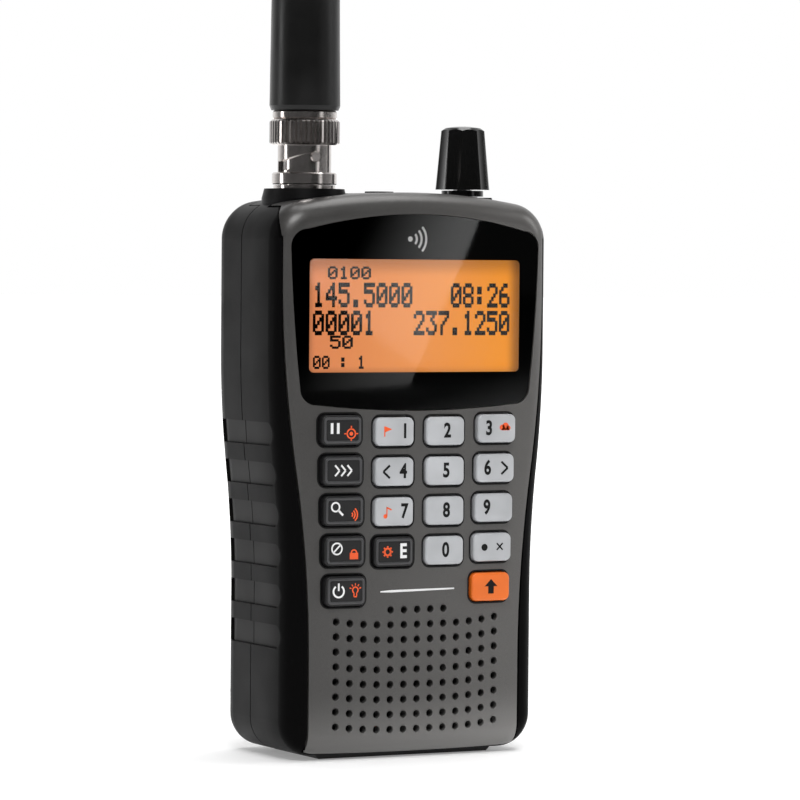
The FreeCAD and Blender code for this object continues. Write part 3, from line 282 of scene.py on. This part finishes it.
def lit_display():
    """The display's lit glass: orange backlight with painted shade along the edges, where the frame shadows
    it, and a paler orange at the left that is a painted reflection of the window's glare.
    """
    finish = Finish("display_glow", (0.02, 0.012, 0.008), 0.3).set(Specular_IOR_Level=0.1)
    parts = finish.nodes.new("ShaderNodeSeparateXYZ")
    finish.links.new(finish.place, parts.inputs["Vector"])
    across, up = parts.outputs["X"], parts.outputs["Z"]
    # where each edge's shade starts, where it ends, and how dark it is
    edges = ((across, 24.4, 21.4, 0.35), (across, -24.5, -22.5, 0.6),
             (up, 79.2, 80.8, 0.75), (up, 102.4, 98.4, 0.55))
    shade = None
    for place, dark_end, light_end, floor in edges:
        ramp = ramp_from(finish.nodes, finish.links, place, dark_end * MM, light_end * MM, floor, 1)
        shade = ramp if shade is None else finish.math("MULTIPLY", shade, ramp)
    # painted reflection: the orange is paler at the left, where the window's glare lies
    share = finish.slope(across, -24 * MM, 20 * MM, 0, 1)
    glare_tint = finish.blend(share, (0.74, 0.25, 0.10), (0.88, 0.285, 0.006))
    finish.links.new(glare_tint, finish.shader.inputs["Emission Color"])
    finish.links.new(shade, finish.shader.inputs["Emission Strength"])
    return finish.material


MATERIALS = {
    "bezel_paint": satin_paint(),
    "case_black": case_plastic(),
    "foot_rubber": moulded("foot_rubber", (0.012, 0.012, 0.012), 0.6).material,
    "window_gloss": window_material(),
    "mask_black": moulded("mask_black", (0.002, 0.002, 0.0025), 0.35).material,
    "lcd_glass": lit_display(),
    "light_guide": moulded("light_guide", (0.7, 0.3, 0.08), 0.3).material,
    "inner_plastic": moulded("inner_plastic", (0.02, 0.02, 0.021), 0.5).material,
    "silicone": moulded("silicone", (0.05, 0.05, 0.05), 0.6).material,
    "dome_film": moulded("dome_film", (0.4, 0.4, 0.4), 0.3).material,
    "circuit_board": moulded("circuit_board", (0.01, 0.09, 0.035), 0.35, 1.2).material,
    "shield_tin": plated("shield_tin", (0.55, 0.55, 0.54), 0.38),
    "magnet_steel": plated("magnet_steel", (0.35, 0.35, 0.36), 0.4),
    "cone_paper": moulded("cone_paper", (0.015, 0.015, 0.015), 0.8, 0.4, 0.05).material,
    "grille_cloth": moulded("grille_cloth", (0.004, 0.004, 0.004), 0.9, 0.3, 0.05).material,
    "cell_wrap": moulded("cell_wrap", (0.12, 0.12, 0.14), 0.3, 2, 0.01, 0.4).material,
    "spring_steel": plated("spring_steel", (0.6, 0.58, 0.54), 0.25),
    "nickel": plated("nickel", (0.66, 0.62, 0.60), 0.13),
    "insulator": moulded("insulator", (0.7, 0.69, 0.64), 0.4).material,
    "brass_contact": plated("brass_contact", (0.75, 0.53, 0.22), 0.22),
    "antenna_rubber": matt(moulded("antenna_rubber", (0.004, 0.004, 0.004), 0.34, 0.3, 0.006)),
    "knob_gloss": moulded("knob_gloss", (0.003, 0.003, 0.003), 0.14, 0.8, 0.001).material,
    "shaft_steel": plated("shaft_steel", (0.5, 0.5, 0.5), 0.3),
    "screw_steel": plated("screw_steel", (0.12, 0.12, 0.125), 0.35),
    "key_dark": matt(moulded("key_dark", (0.010, 0.010, 0.0105), 0.45, 0.2, 0.004)),
    "key_light": moulded("key_light", (0.44, 0.45, 0.465), 0.42, 0.2, 0.004, 0.1).material,
    "key_orange": moulded("key_orange", (0.80, 0.155, 0.012), 0.4, 0.2, 0.004).material,
}
PRINT_WHITE = moulded("print_white", (0.8, 0.8, 0.8), 0.45).material
PRINT_ORANGE = moulded("print_orange", (0.85, 0.10, 0.015), 0.45).material
PRINT_BLACK = moulded("print_black", (0.004, 0.004, 0.004), 0.5).set(Specular_IOR_Level=0.2).material
RIM_GREY = moulded("rim_grey", (0.048, 0.048, 0.05), 0.34, 0.2, 0.003).material
PIXEL_BLACK = moulded("pixel_black", (0.004, 0.002, 0.001), 0.8).set(Specular_IOR_Level=0.0).material

for entry in frame["record"]["subparts"]:
    part = NODES[entry["node"]]
    part.data.materials.clear()
    part.data.materials.append(MATERIALS[entry["material_slot"]])


# ---- printed marks --------------------------------------------------------------------------


class Mark:
    """Flat strokes drawn in millimetres about a centre, then given the thickness of print."""

    def __init__(self):
        self.vertices = []
        self.faces = []

    def add(self, points):
        first = len(self.vertices)
        self.vertices += points
        self.faces.append(tuple(range(first, first + len(points))))
        return self

    def bar(self, x0, z0, x1, z1, width):
        along = Vector((x1 - x0, z1 - z0)).normalized() * width / 2
        side = (along.y, -along.x)
        return self.add([(x0 + side[0], z0 + side[1]), (x1 + side[0], z1 + side[1]),
                         (x1 - side[0], z1 - side[1]), (x0 - side[0], z0 - side[1])])

    def arc(self, cx, cz, radius, start, end, width, steps=20):
        for step in range(steps):
            corners = []
            for share, reach in ((step, radius - width / 2), (step, radius + width / 2),
                                 (step + 1, radius + width / 2), (step + 1, radius - width / 2)):
                angle = math.radians(start + (end - start) * share / steps)
                corners.append((cx + reach * math.cos(angle), cz + reach * math.sin(angle)))
            self.add(corners)
        return self

    def disc(self, cx, cz, radius, steps=24):
        turn = 2 * math.pi / steps
        angles = [turn * i for i in range(steps)]
        return self.add([(cx + radius * math.cos(a), cz + radius * math.sin(a)) for a in angles])

    def piece(self, name, x, y, z, material, body, slot):
        """Puts the mark on a face at the depth y, so that it stands out along -Y."""
        mesh = bpy.data.meshes.new(name)
        points = [(x + px * MM, y, z + pz * MM) for px, pz in self.vertices]
        mesh.from_pydata(points, [], self.faces)
        work = bmesh.new()
        work.from_mesh(mesh)
        bmesh.ops.remove_doubles(work, verts=work.verts, dist=1e-7)
        bmesh.ops.recalc_face_normals(work, faces=work.faces)
        for face in work.faces:
            if face.normal.y > 0:
                face.normal_flip()
        raised = bmesh.ops.extrude_face_region(work, geom=work.faces[:])
        lifted = [g for g in raised["geom"] if isinstance(g, bmesh.types.BMVert)]
        bmesh.ops.translate(work, verts=lifted, vec=(0, -FILM, 0))
        bmesh.ops.recalc_face_normals(work, faces=work.faces)
        work.to_mesh(mesh)
        work.free()
        mesh.materials.append(material)
        return link(bpy.data.objects.new(name, mesh), body)


def words(name, text, size_mm, x, y, z, material, body, squeeze=0.8):
    """A figure or sign in the plain font, centred at x, z."""
    curve = bpy.data.curves.new(name + "_curve", "FONT")
    curve.body = text
    curve.size = size_mm * MM
    curve.align_x = "CENTER"
    curve.align_y = "CENTER"
    curve.extrude = FILM / 2
    curve.offset = FIGURE_WEIGHT * size_mm * MM
    holder = bpy.data.objects.new(name + "_holder", curve)
    bpy.context.scene.collection.objects.link(holder)
    bpy.context.view_layer.update()
    mesh = bpy.data.meshes.new_from_object(holder.evaluated_get(bpy.context.evaluated_depsgraph_get()))
    bpy.data.objects.remove(holder)
    turn = Matrix.Translation((x, y - FILM / 2, z)) @ Matrix.Rotation(math.radians(90), 4, "X")
    mesh.transform(turn @ Matrix.Diagonal((squeeze, 1, 1, 1)))
    mesh.name = name
    mesh.materials.clear()
    mesh.materials.append(material)
    return link(bpy.data.objects.new(name, mesh), body)


# ---- keys -----------------------------------------------------------------------------------

FIGURE = 4.1               # height of the font that gives figures of about three millimetres

FIGURE_WEIGHT = 0.032      # how much a figure is thickened, as a share of its height

KEY_FIGURES = {
    # key: (sign, sideways shift in mm)
    "key_1": ("1", 2.3), "key_2": ("2", 0.4), "key_3": ("3", -1.9), "key_4": ("4", 2.0), "key_5": ("5", 0.2),
    "key_6": ("6", -1.9), "key_7": ("7", 2.3), "key_8": ("8", 0.3), "key_9": ("9", -1.7), "key_0": ("0", 0.2),
    "key_enter": ("E", 2.1),
}


def pause():
    return Mark().bar(-0.7, -1.1, -0.7, 1.1, 0.6).bar(0.7, -1.1, 0.7, 1.1, 0.6)


def target():
    mark = Mark().arc(0, 0, 0.95, 0, 360, 0.3).disc(0, 0, 0.4)
    for turn in range(4):
        a = math.radians(90 * turn)
        mark.bar(0.95 * math.cos(a), 0.95 * math.sin(a), 1.6 * math.cos(a), 1.6 * math.sin(a), 0.25)
    return mark


def chevrons():
    mark = Mark()
    for shift in (-1.6, -0.2, 1.2):
        mark.bar(shift - 0.5, 1.1, shift + 0.5, 0, 0.38).bar(shift + 0.5, 0, shift - 0.5, -1.1, 0.38)
    return mark


def magnifier():
    return Mark().arc(-0.3, 0.3, 0.9, 0, 360, 0.35).bar(0.35, -0.35, 1.4, -1.4, 0.45)


def wave():
    mark = Mark()
    for ring in (0.5, 1.05, 1.6):
        mark.arc(-0.6, 0, ring, -50, 50, 0.28, 10)
    return mark


def no_entry():
    return Mark().arc(0, 0, 1.15, 0, 360, 0.32).bar(-0.8, -0.8, 0.8, 0.8, 0.32)


def padlock():
    return Mark().bar(-0.95, -0.55, 0.95, -0.55, 1.3).arc(0, 0.1, 0.6, 0, 180, 0.3, 12)


def power_sign():
    return Mark().arc(0, 0, 1.2, -235, 55, 0.38).bar(0, 0.1, 0, 1.65, 0.38)


def bulb():
    mark = Mark().arc(0, 0.1, 0.62, -60, 240, 0.26).bar(-0.3, -0.5, -0.3, -1.2, 0.22)
    mark.bar(0.3, -0.5, 0.3, -1.2, 0.22).bar(-0.35, -1.25, 0.35, -1.25, 0.24)
    near, far, lift = 0.95, 1.4, 0.1
    for turn in (20, 55, 90, 125, 160):
        a = math.radians(turn)
        x, z = math.cos(a), math.sin(a)
        mark.bar(near * x, lift + near * z, far * x, lift + far * z, 0.2)
    return mark


def flag():
    return Mark().bar(-0.8, -1, -0.8, 1.1, 0.26).add([(-0.7, 1.1), (0.9, 0.5), (-0.7, -0.1)])


def cloud():
    puffs = Mark().disc(-0.5, 0, 0.6).disc(0.3, 0.25, 0.75).disc(0.95, -0.1, 0.5)
    return puffs.bar(-0.6, -0.4, 1.1, -0.4, 0.4)


def note():
    return Mark().disc(-0.6, -0.8, 0.45).bar(-0.25, -0.8, -0.25, 1.1, 0.24).bar(-0.3, 1.0, 0.8, 0.5, 0.3)


def gear():
    mark = Mark().arc(0, 0, 0.7, 0, 360, 0.4)
    for turn in range(8):
        a = math.radians(45 * turn)
        mark.bar(0.8 * math.cos(a), 0.8 * math.sin(a), 1.2 * math.cos(a), 1.2 * math.sin(a), 0.34)
    return mark


def chevron(side):
    reach, rise, stroke = side * 0.75, 1.3, 0.46
    return Mark().bar(reach, 0, -reach, rise, stroke).bar(reach, 0, -reach, -rise, stroke)


def cross():
    return Mark().bar(-0.7, -0.7, 0.7, 0.7, 0.3).bar(-0.7, 0.7, 0.7, -0.7, 0.3)


def dot():
    return Mark().disc(0, 0, 0.72)


def up_arrow():
    head = [(-1.5, 0.1), (0, 1.6), (1.5, 0.1)]
    stem = [(0.65, 0.1), (0.65, -1.4), (-0.65, -1.4), (-0.65, 0.1)]
    return Mark().add(head + stem)


KEY_MARKS = [
    # key, mark, sideways and upward shift in mm, colour of the print
    ("key_hold", "pause", pause, -1.7, 0.4, "white"), ("key_hold", "target", target, 2.0, -0.7, "orange"),
    ("key_scan", "chevrons", chevrons, 0.2, 0, "white"),
    ("key_search", "magnifier", magnifier, -1.7, 0.5, "white"),
    ("key_search", "wave", wave, 2.0, -0.8, "orange"),
    ("key_lockout", "no_entry", no_entry, -1.9, 0.5, "white"),
    ("key_lockout", "padlock", padlock, 2.0, -0.5, "orange"),
    ("key_power", "sign", power_sign, -1.7, 0, "white"), ("key_power", "bulb", bulb, 2.1, 0.1, "orange"),
    ("key_enter", "gear", gear, -1.5, 0, "orange"),
    ("key_1", "flag", flag, -1.6, 0, "orange"), ("key_3", "cloud", cloud, 1.7, 0.2, "orange"),
    ("key_7", "note", note, -1.5, -0.1, "orange"),
    ("key_4", "left", lambda: chevron(-1), -1.9, 0, "black"),
    ("key_6", "right", lambda: chevron(1), 2.1, 0, "black"),
    ("key_dot", "dot", dot, -1.9, 0, "black"), ("key_dot", "cross", cross, 1.7, 0.1, "black"),
    ("key_function", "arrow", up_arrow, 0, 0, "black"),
]
PRINTS = {"white": PRINT_WHITE, "orange": PRINT_ORANGE, "black": PRINT_BLACK}
FLANGE_LIP = 0.65 * MM
KEY_GAP = 0.35 * MM
KEY_CORNER = 1.3 * MM
# width of the painted shade ring round each key's well
WELL_SHADE_WIDTH = 0.3 * MM
FACE_RADIUS = 300 * MM
DARK_KEYS = ("key_hold", "key_scan", "key_search", "key_lockout", "key_power", "key_enter")


def slot_of(node):
    return next(e["material_slot"] for e in frame["record"]["subparts"] if e["node"] == node)


def key_face(node):
    """Centre of a key's front face."""
    low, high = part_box(node)
    return (low.x + high.x) / 2, low.y, (low.z + high.z) / 2


def rounded_loop(half_x, half_z, radius, steps=6):
    """Corner points of a rounded rectangle, anticlockwise as seen from the front."""
    points = []
    for quarter, (sx, sz) in enumerate(((1, -1), (1, 1), (-1, 1), (-1, -1))):
        for step in range(steps + 1):
            angle = math.radians(90 * quarter - 90 + 90 * step / steps)
            points.append((sx * (half_x - radius) + radius * math.cos(angle),
                           sz * (half_z - radius) + radius * math.sin(angle)))
    return points


def well_outline(node):
    """The dark ring round a key's well, painted shade over the gap between key and cover, on the cover's
    slightly round face.
    """
    x, y, z = key_face(node)
    low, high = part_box(node)
    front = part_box("front_bezel")[0].y
    inner = KEY_GAP - 0.06 * MM
    vertices = []
    for out in (inner, inner + WELL_SHADE_WIDTH):
        reach = out - FLANGE_LIP
        loop = rounded_loop((high.x - low.x) / 2 + reach, (high.z - low.z) / 2 + reach, KEY_CORNER + out)
        for px, pz in loop:
            across = x + px
            vertices.append((across, front + across * across / (2 * FACE_RADIUS) - FILM, z + pz))
    count = len(vertices) // 2
    faces = [(i, (i + 1) % count, count + (i + 1) % count, count + i) for i in range(count)]
    # the ring uses the black print material as painted shade
    mesh_piece(node + "_outline", vertices, faces, PRINT_BLACK, HANDSET, False)


def key_rim(node):
    """The raised lighter rim round a dark key's face: a low rounded bead."""
    x, y, z = key_face(node)
    low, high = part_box(node)
    edge_round = 0.35 * MM
    half_x = (high.x - low.x) / 2 - FLANGE_LIP - edge_round
    half_z = (high.z - low.z) / 2 - FLANGE_LIP - edge_round
    width = 0.62 * MM
    rise = 0.16 * MM
    loops = []
    for share in (0, 0.25, 0.5, 0.75, 1):
        inset = width * share
        lift = rise * math.sin(math.pi * share)
        corner = max(0.95 * MM - inset, 0.25 * MM)
        loop = rounded_loop(half_x - inset, half_z - inset, corner)
        loops.append([(x + px, y - lift + 0.01 * MM, z + pz) for px, pz in loop])
    count = len(loops[0])
    vertices = [p for loop in loops for p in loop]
    faces = []
    for ring in range(len(loops) - 1):
        for i in range(count):
            j = (i + 1) % count
            faces.append((ring * count + i, ring * count + j, (ring + 1) * count + j, (ring + 1) * count + i))
    last = (len(loops) - 1) * count
    for i in range(count):
        j = (i + 1) % count
        faces.append((last + i, last + j, j, i))
    mesh_piece(node + "_rim", vertices, faces, RIM_GREY, node + "_body", True)


for key, (sign, shift) in KEY_FIGURES.items():
    fx, fy, fz = key_face(key)
    colour = PRINT_WHITE if key in DARK_KEYS else PRINT_BLACK
    words(key + "_figure", sign, FIGURE, fx + shift * MM, fy, fz, colour, key + "_body")
for key, label, draw, shift_x, shift_z, print_name in KEY_MARKS:
    fx, fy, fz = key_face(key)
    draw().piece("%s_%s" % (key, label), fx + shift_x * MM, fy, fz + shift_z * MM, PRINTS[print_name],
                 key + "_body", slot_of(key))
for key in DARK_KEYS:
    key_rim(key)
for key in [entry["node"] for entry in frame["record"]["subparts"] if entry["node"].startswith("key_")]:
    well_outline(key)


# ---- display --------------------------------------------------------------------------------

DIGITS = {
    # five dots across and seven down
    "0": "01110 10001 10011 10101 11001 10001 01110", "1": "00100 01100 00100 00100 00100 00100 01110",
    "2": "01110 10001 00001 00010 00100 01000 11111", "3": "11111 00010 00100 00010 00001 10001 01110",
    "4": "00010 00110 01010 10010 11111 00010 00010", "5": "11111 10000 11110 00001 00001 10001 01110",
    "6": "00110 01000 10000 11110 10001 10001 01110", "7": "11111 00001 00010 00100 01000 01000 01000",
    "8": "01110 10001 10001 01110 10001 10001 01110", "9": "01110 10001 10001 01111 00001 00010 01100",
    ".": "00000 00000 00000 00000 00000 01100 01100", ":": "00000 01100 01100 00000 01100 01100 00000",
    "-": "00000 00000 00000 11111 00000 00000 00000", "#": "11111 11111 11111 11111 11111 11111 11111",
    "_": "00000 00000 00000 00000 00000 00000 11111", "<": "00010 00100 01000 10000 01000 00100 00010",
    ">": "01000 00100 00010 00001 00010 00100 01000", " ": "00000 00000 00000 00000 00000 00000 00000",
}
DISPLAY_LINES = [
    # text, left edge, top edge, dot pitch across and down
    ("0100", -20.0, 100.9, 0.42, 0.36), ("145.5000   08:26", -23.3, 97.6, 0.479, 0.69),
    ("00001   237.1250", -23.3, 91.9, 0.479, 0.69), ("50", -19.4, 86.8, 0.46, 0.37),
    ("00 : 1", -23.2, 82.7, 0.335, 0.37),
]


DOT_SHARE = 1.32


def display_dots():
    """Dark square dots that stand just in front of the lit glass."""
    low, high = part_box("lcd_panel")
    y = low.y - 0.05 * MM
    vertices = []
    faces = []
    for text, left, top, pitch_x, pitch_z in DISPLAY_LINES:
        for place, letter in enumerate(text):
            for row, bits in enumerate(DIGITS[letter].split()):
                for column, bit in enumerate(bits):
                    if bit == "0":
                        continue
                    x = (left + (place * 6 + column) * pitch_x) * MM
                    z = (top - row * pitch_z) * MM
                    w, h = pitch_x * DOT_SHARE * MM, pitch_z * DOT_SHARE * MM
                    first = len(vertices)
                    vertices += [(x, y, z - h), (x + w, y, z - h), (x + w, y, z), (x, y, z)]
                    faces.append((first, first + 1, first + 2, first + 3))
    mesh_piece("display_dots", vertices, faces, PIXEL_BLACK, HANDSET)


display_dots()


def window_marks():
    """A generic mark in place of the printed names: a small wave sign; the plain rule over the grille comes
    from bezel_rule.
    """
    low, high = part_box("window_mask")
    y = low.y - FILM
    sign = Mark().disc(-1.6, 0, 0.55)
    for ring in (1.5, 2.6, 3.7):
        sign.arc(-1.6, 0, ring, -42, 42, 0.5, 14)
    sign.piece("window_sign", 0.0, y, 106.6 * MM, PRINT_WHITE, HANDSET, "mask_black")


window_marks()


def bezel_rule():
    """A slim tapered rule over the grille."""
    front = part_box("front_bezel")[0].y
    rule = Mark().add([(-8.6, -0.12), (-8.6, 0.12), (-6, 0.3), (8.6, 0.42), (8.6, 0.1), (-6, -0.2)])
    rule.piece("bezel_rule", 0.0, front, 34.4 * MM, PRINT_WHITE, HANDSET, "bezel_paint")


bezel_rule()


# ---- grille ---------------------------------------------------------------------------------


def grille_holes():
    """Centres of the grille's holes in millimetres: eight rows of thirteen under a row of five."""
    pitch, top, wide, narrow = 3.07, 27.5, 6, 2
    for row in range(-1, 8):
        reach = narrow if row < 0 else wide
        for column in range(-reach, reach + 1):
            yield pitch * column, top - pitch * row + (abs(column) / wide) ** 3


def grille_rims():
    """A soft lip round each of the grille's holes, in the cover's own paint."""
    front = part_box("front_bezel")[0].y / MM
    hole, width, steps = 0.76, 0.3, 20
    # how far out each ring of the lip lies, as a share of its width, and how far it stands out
    rings = ((0, -0.25), (0, 0.02), (0.45, 0.07), (1, -0.02))
    turn = 2 * math.pi / steps
    vertices = []
    faces = []
    for x, z in grille_holes():
        first = len(vertices)
        for out, lift in rings:
            reach = hole + width * out
            for step in range(steps):
                px = x + reach * math.cos(turn * step)
                pz = z + reach * math.sin(turn * step)
                py = front + px * px / (2 * FACE_RADIUS / MM) - lift
                vertices.append((px * MM, py * MM, pz * MM))
        for a in range(first, first + (len(rings) - 1) * steps, steps):
            for i in range(steps):
                j = (i + 1) % steps
                faces.append((a + i, a + j, a + steps + j, a + steps + i))
    mesh_piece("grille_rims", vertices, faces, MATERIALS["bezel_paint"], HANDSET, True)


grille_rims()


def case_half(z):
    """Half the case's width at the height z, in millimetres: it flares out in two arcs."""
    low_half, high_half, flare_start, flare_end = 29.0, 31.8, 34.0, 84.0
    share = min(max((z - flare_start) / (flare_end - flare_start), 0), 1)
    rise = 2 * share ** 2 if share < 0.5 else 1 - 2 * (1 - share) ** 2
    return low_half + (high_half - low_half) * rise


def seam_liner(name, side):
    """A dark strip deep in a side's part line, so that no light shines through the case."""
    front, back, shallow, deep = 2.06, 2.34, 1.05, 1.75
    bottom, top, step = 9, 107, 2
    vertices = []
    faces = []
    for z in range(bottom, top + 1, step):
        outside = case_half(z)
        for depth, y in ((shallow, front), (shallow, back), (deep, back), (deep, front)):
            vertices.append((side * (outside - depth) * MM, y * MM, z * MM))
    for first in range(0, len(vertices) - 4, 4):
        for i in range(4):
            j = (i + 1) % 4
            faces.append((first + i, first + j, first + 4 + j, first + 4 + i))
    last = len(vertices) - 4
    faces += [(3, 2, 1, 0), (last, last + 1, last + 2, last + 3)]
    mesh_piece(name, vertices, faces, MATERIALS["inner_plastic"], HANDSET)


seam_liner("seam_liner_left", -1)
seam_liner("seam_liner_right", 1)


# ---- camera, floor and light ----------------------------------------------------------------

FOCAL = 195.0
CAMERA_PLACE = Vector((-0.4207, -0.7991, 0.1029))
CAMERA_YAW = 28.0
CAMERA_PITCH = -1.89
CAMERA_ROLL = 0.5
FLOOR_GLOW = 0.25
GLARE = 2.1


def make_camera():
    data = bpy.data.cameras.new("camera")
    data.lens = FOCAL
    data.sensor_width = 36
    data.clip_start = 0.01
    data.clip_end = 50
    camera = bpy.data.objects.new("camera", data)
    bpy.context.scene.collection.objects.link(camera)
    turn = Matrix.Rotation(-math.radians(CAMERA_YAW), 4, "Z")
    tilt = Matrix.Rotation(math.radians(90 + CAMERA_PITCH), 4, "X")
    roll = Matrix.Rotation(math.radians(CAMERA_ROLL), 4, "Z")
    camera.matrix_world = Matrix.Translation(CAMERA_PLACE) @ turn @ tilt @ roll
    bpy.context.scene.camera = camera


BACK = (math.sin(math.radians(CAMERA_YAW)), math.cos(math.radians(CAMERA_YAW)), 0)


def along_back(nodes, links, place):
    dot = nodes.new("ShaderNodeVectorMath")
    dot.operation = "DOT_PRODUCT"
    dot.inputs[1].default_value = BACK
    links.new(place, dot.inputs[0])
    return dot.outputs["Value"]


def make_floor():
    """A white sweep: it glows evenly far behind the object and darkens towards the front of the studio."""
    pale, dim, reach = 0.82, 0.06, 9
    finish = Finish("floor_pale", (pale, pale, pale), 0.85)
    back = along_back(finish.nodes, finish.links, finish.place)
    front_fade = ramp_from(finish.nodes, finish.links, back, -1.3, -0.55, dim, pale)
    colour = finish.nodes.new("ShaderNodeCombineColor")
    for channel in ("Red", "Green", "Blue"):
        finish.links.new(front_fade, colour.inputs[channel])
    finish.links.new(colour.outputs["Color"], finish.shader.inputs["Base Color"])
    finish.set(Emission_Color=(1, 1, 1, 1), Specular_IOR_Level=0.1)
    glow = ramp_from(finish.nodes, finish.links, back, 0.15, 1.5, FLOOR_GLOW, 1.0)
    front_glow = ramp_from(finish.nodes, finish.links, back, -0.9, -0.2, 0.0, 1.0)
    finish.links.new(finish.math("MULTIPLY", glow, front_glow), finish.shader.inputs["Emission Strength"])
    mesh = bpy.data.meshes.new("floor")
    mesh.from_pydata([(-reach, -reach, 0), (reach, -reach, 0), (reach, reach, 0), (-reach, reach, 0)], [],
                     [(0, 1, 2, 3)])
    mesh.materials.append(finish.material)
    floor = bpy.data.objects.new("floor", mesh)
    floor.location.z = cad_low.z - 0.0001
    bpy.context.scene.collection.objects.link(floor)


def make_sky():
    """A studio that is white behind the object and dark in front of it."""
    world = bpy.data.worlds.new("studio")
    bpy.context.scene.world = world
    world.use_nodes = True
    nodes, links = world.node_tree.nodes, world.node_tree.links
    background = nodes["Background"]
    place = nodes.new("ShaderNodeTexCoord").outputs["Generated"]
    back = along_back(nodes, links, place)
    dark_until, white_from, least, most = 0.15, 0.92, 0.05, 1.0
    strength = ramp_from(nodes, links, back, dark_until, white_from, least, most)
    links.new(strength, background.inputs["Strength"])
    background.inputs["Color"].default_value = (1, 1, 1, 1)


def area(name, place, target_point, width, height, power, colour=(1, 1, 1)):
    data = bpy.data.lights.new(name, "AREA")
    data.shape = "RECTANGLE"
    data.size = width
    data.size_y = height
    data.energy = power
    data.color = colour
    lamp = bpy.data.objects.new(name, data)
    lamp.location = place
    lamp.rotation_mode = "QUATERNION"
    lamp.rotation_quaternion = (Vector(target_point) - Vector(place)).to_track_quat("-Z", "Y")
    bpy.context.scene.collection.objects.link(lamp)
    return lamp


def make_lights():
    body = (0, 0, 0.06)
    area("key_light", (-0.9, -1.9, 2.1), body, 1.3, 1.0, 52)
    area("left_strip", (-1.9, 0.9, 0.5), body, 0.35, 1.6, 9)
    area("right_fill", (2.3, -0.9, 1.1), body, 0.7, 1.3, 14)
    area("top_light", (0.4, 0.2, 2.3), body, 1.6, 1.6, 36)


def make_glare_card():
    """A slanted softbox in front: its edge draws the diagonal reflection across the window."""
    depth, height, edge_low, edge_high = -2.316, 0.4, 1.19, 2.38
    far_low, far_high, fade = -0.4, 0.6, 0.62
    mesh = bpy.data.meshes.new("glare_card")
    mesh.from_pydata([(edge_low, depth, 0), (edge_high, depth, height), (far_high, depth, height),
                      (far_low, depth, 0)], [], [(0, 1, 2, 3)])
    finish = Finish("glare_glow", (0, 0, 0), 1)
    finish.set(Emission_Color=(1, 1, 1, 1), Specular_IOR_Level=0.0)
    parts = finish.nodes.new("ShaderNodeSeparateXYZ")
    finish.links.new(finish.place, parts.inputs["Vector"])
    slant = (edge_high - edge_low) / height
    edge_here = finish.math("ADD", finish.math("MULTIPLY", parts.outputs["Z"], slant), edge_low)
    gap = finish.math("SUBTRACT", edge_here, parts.outputs["X"])
    across = ramp_from(finish.nodes, finish.links, gap, 0.0, fade, GLARE, 0.0)
    lift = ramp_from(finish.nodes, finish.links, parts.outputs["Z"], -0.02, 0.13, 0.45, 1.0)
    finish.links.new(finish.math("MULTIPLY", across, lift), finish.shader.inputs["Emission Strength"])
    mesh.materials.append(finish.material)
    card = bpy.data.objects.new("glare_card", mesh)
    bpy.context.scene.collection.objects.link(card)


make_camera()
make_floor()
make_sky()
make_lights()
make_glare_card()
bpy.context.scene.view_settings.view_transform = "Standard"
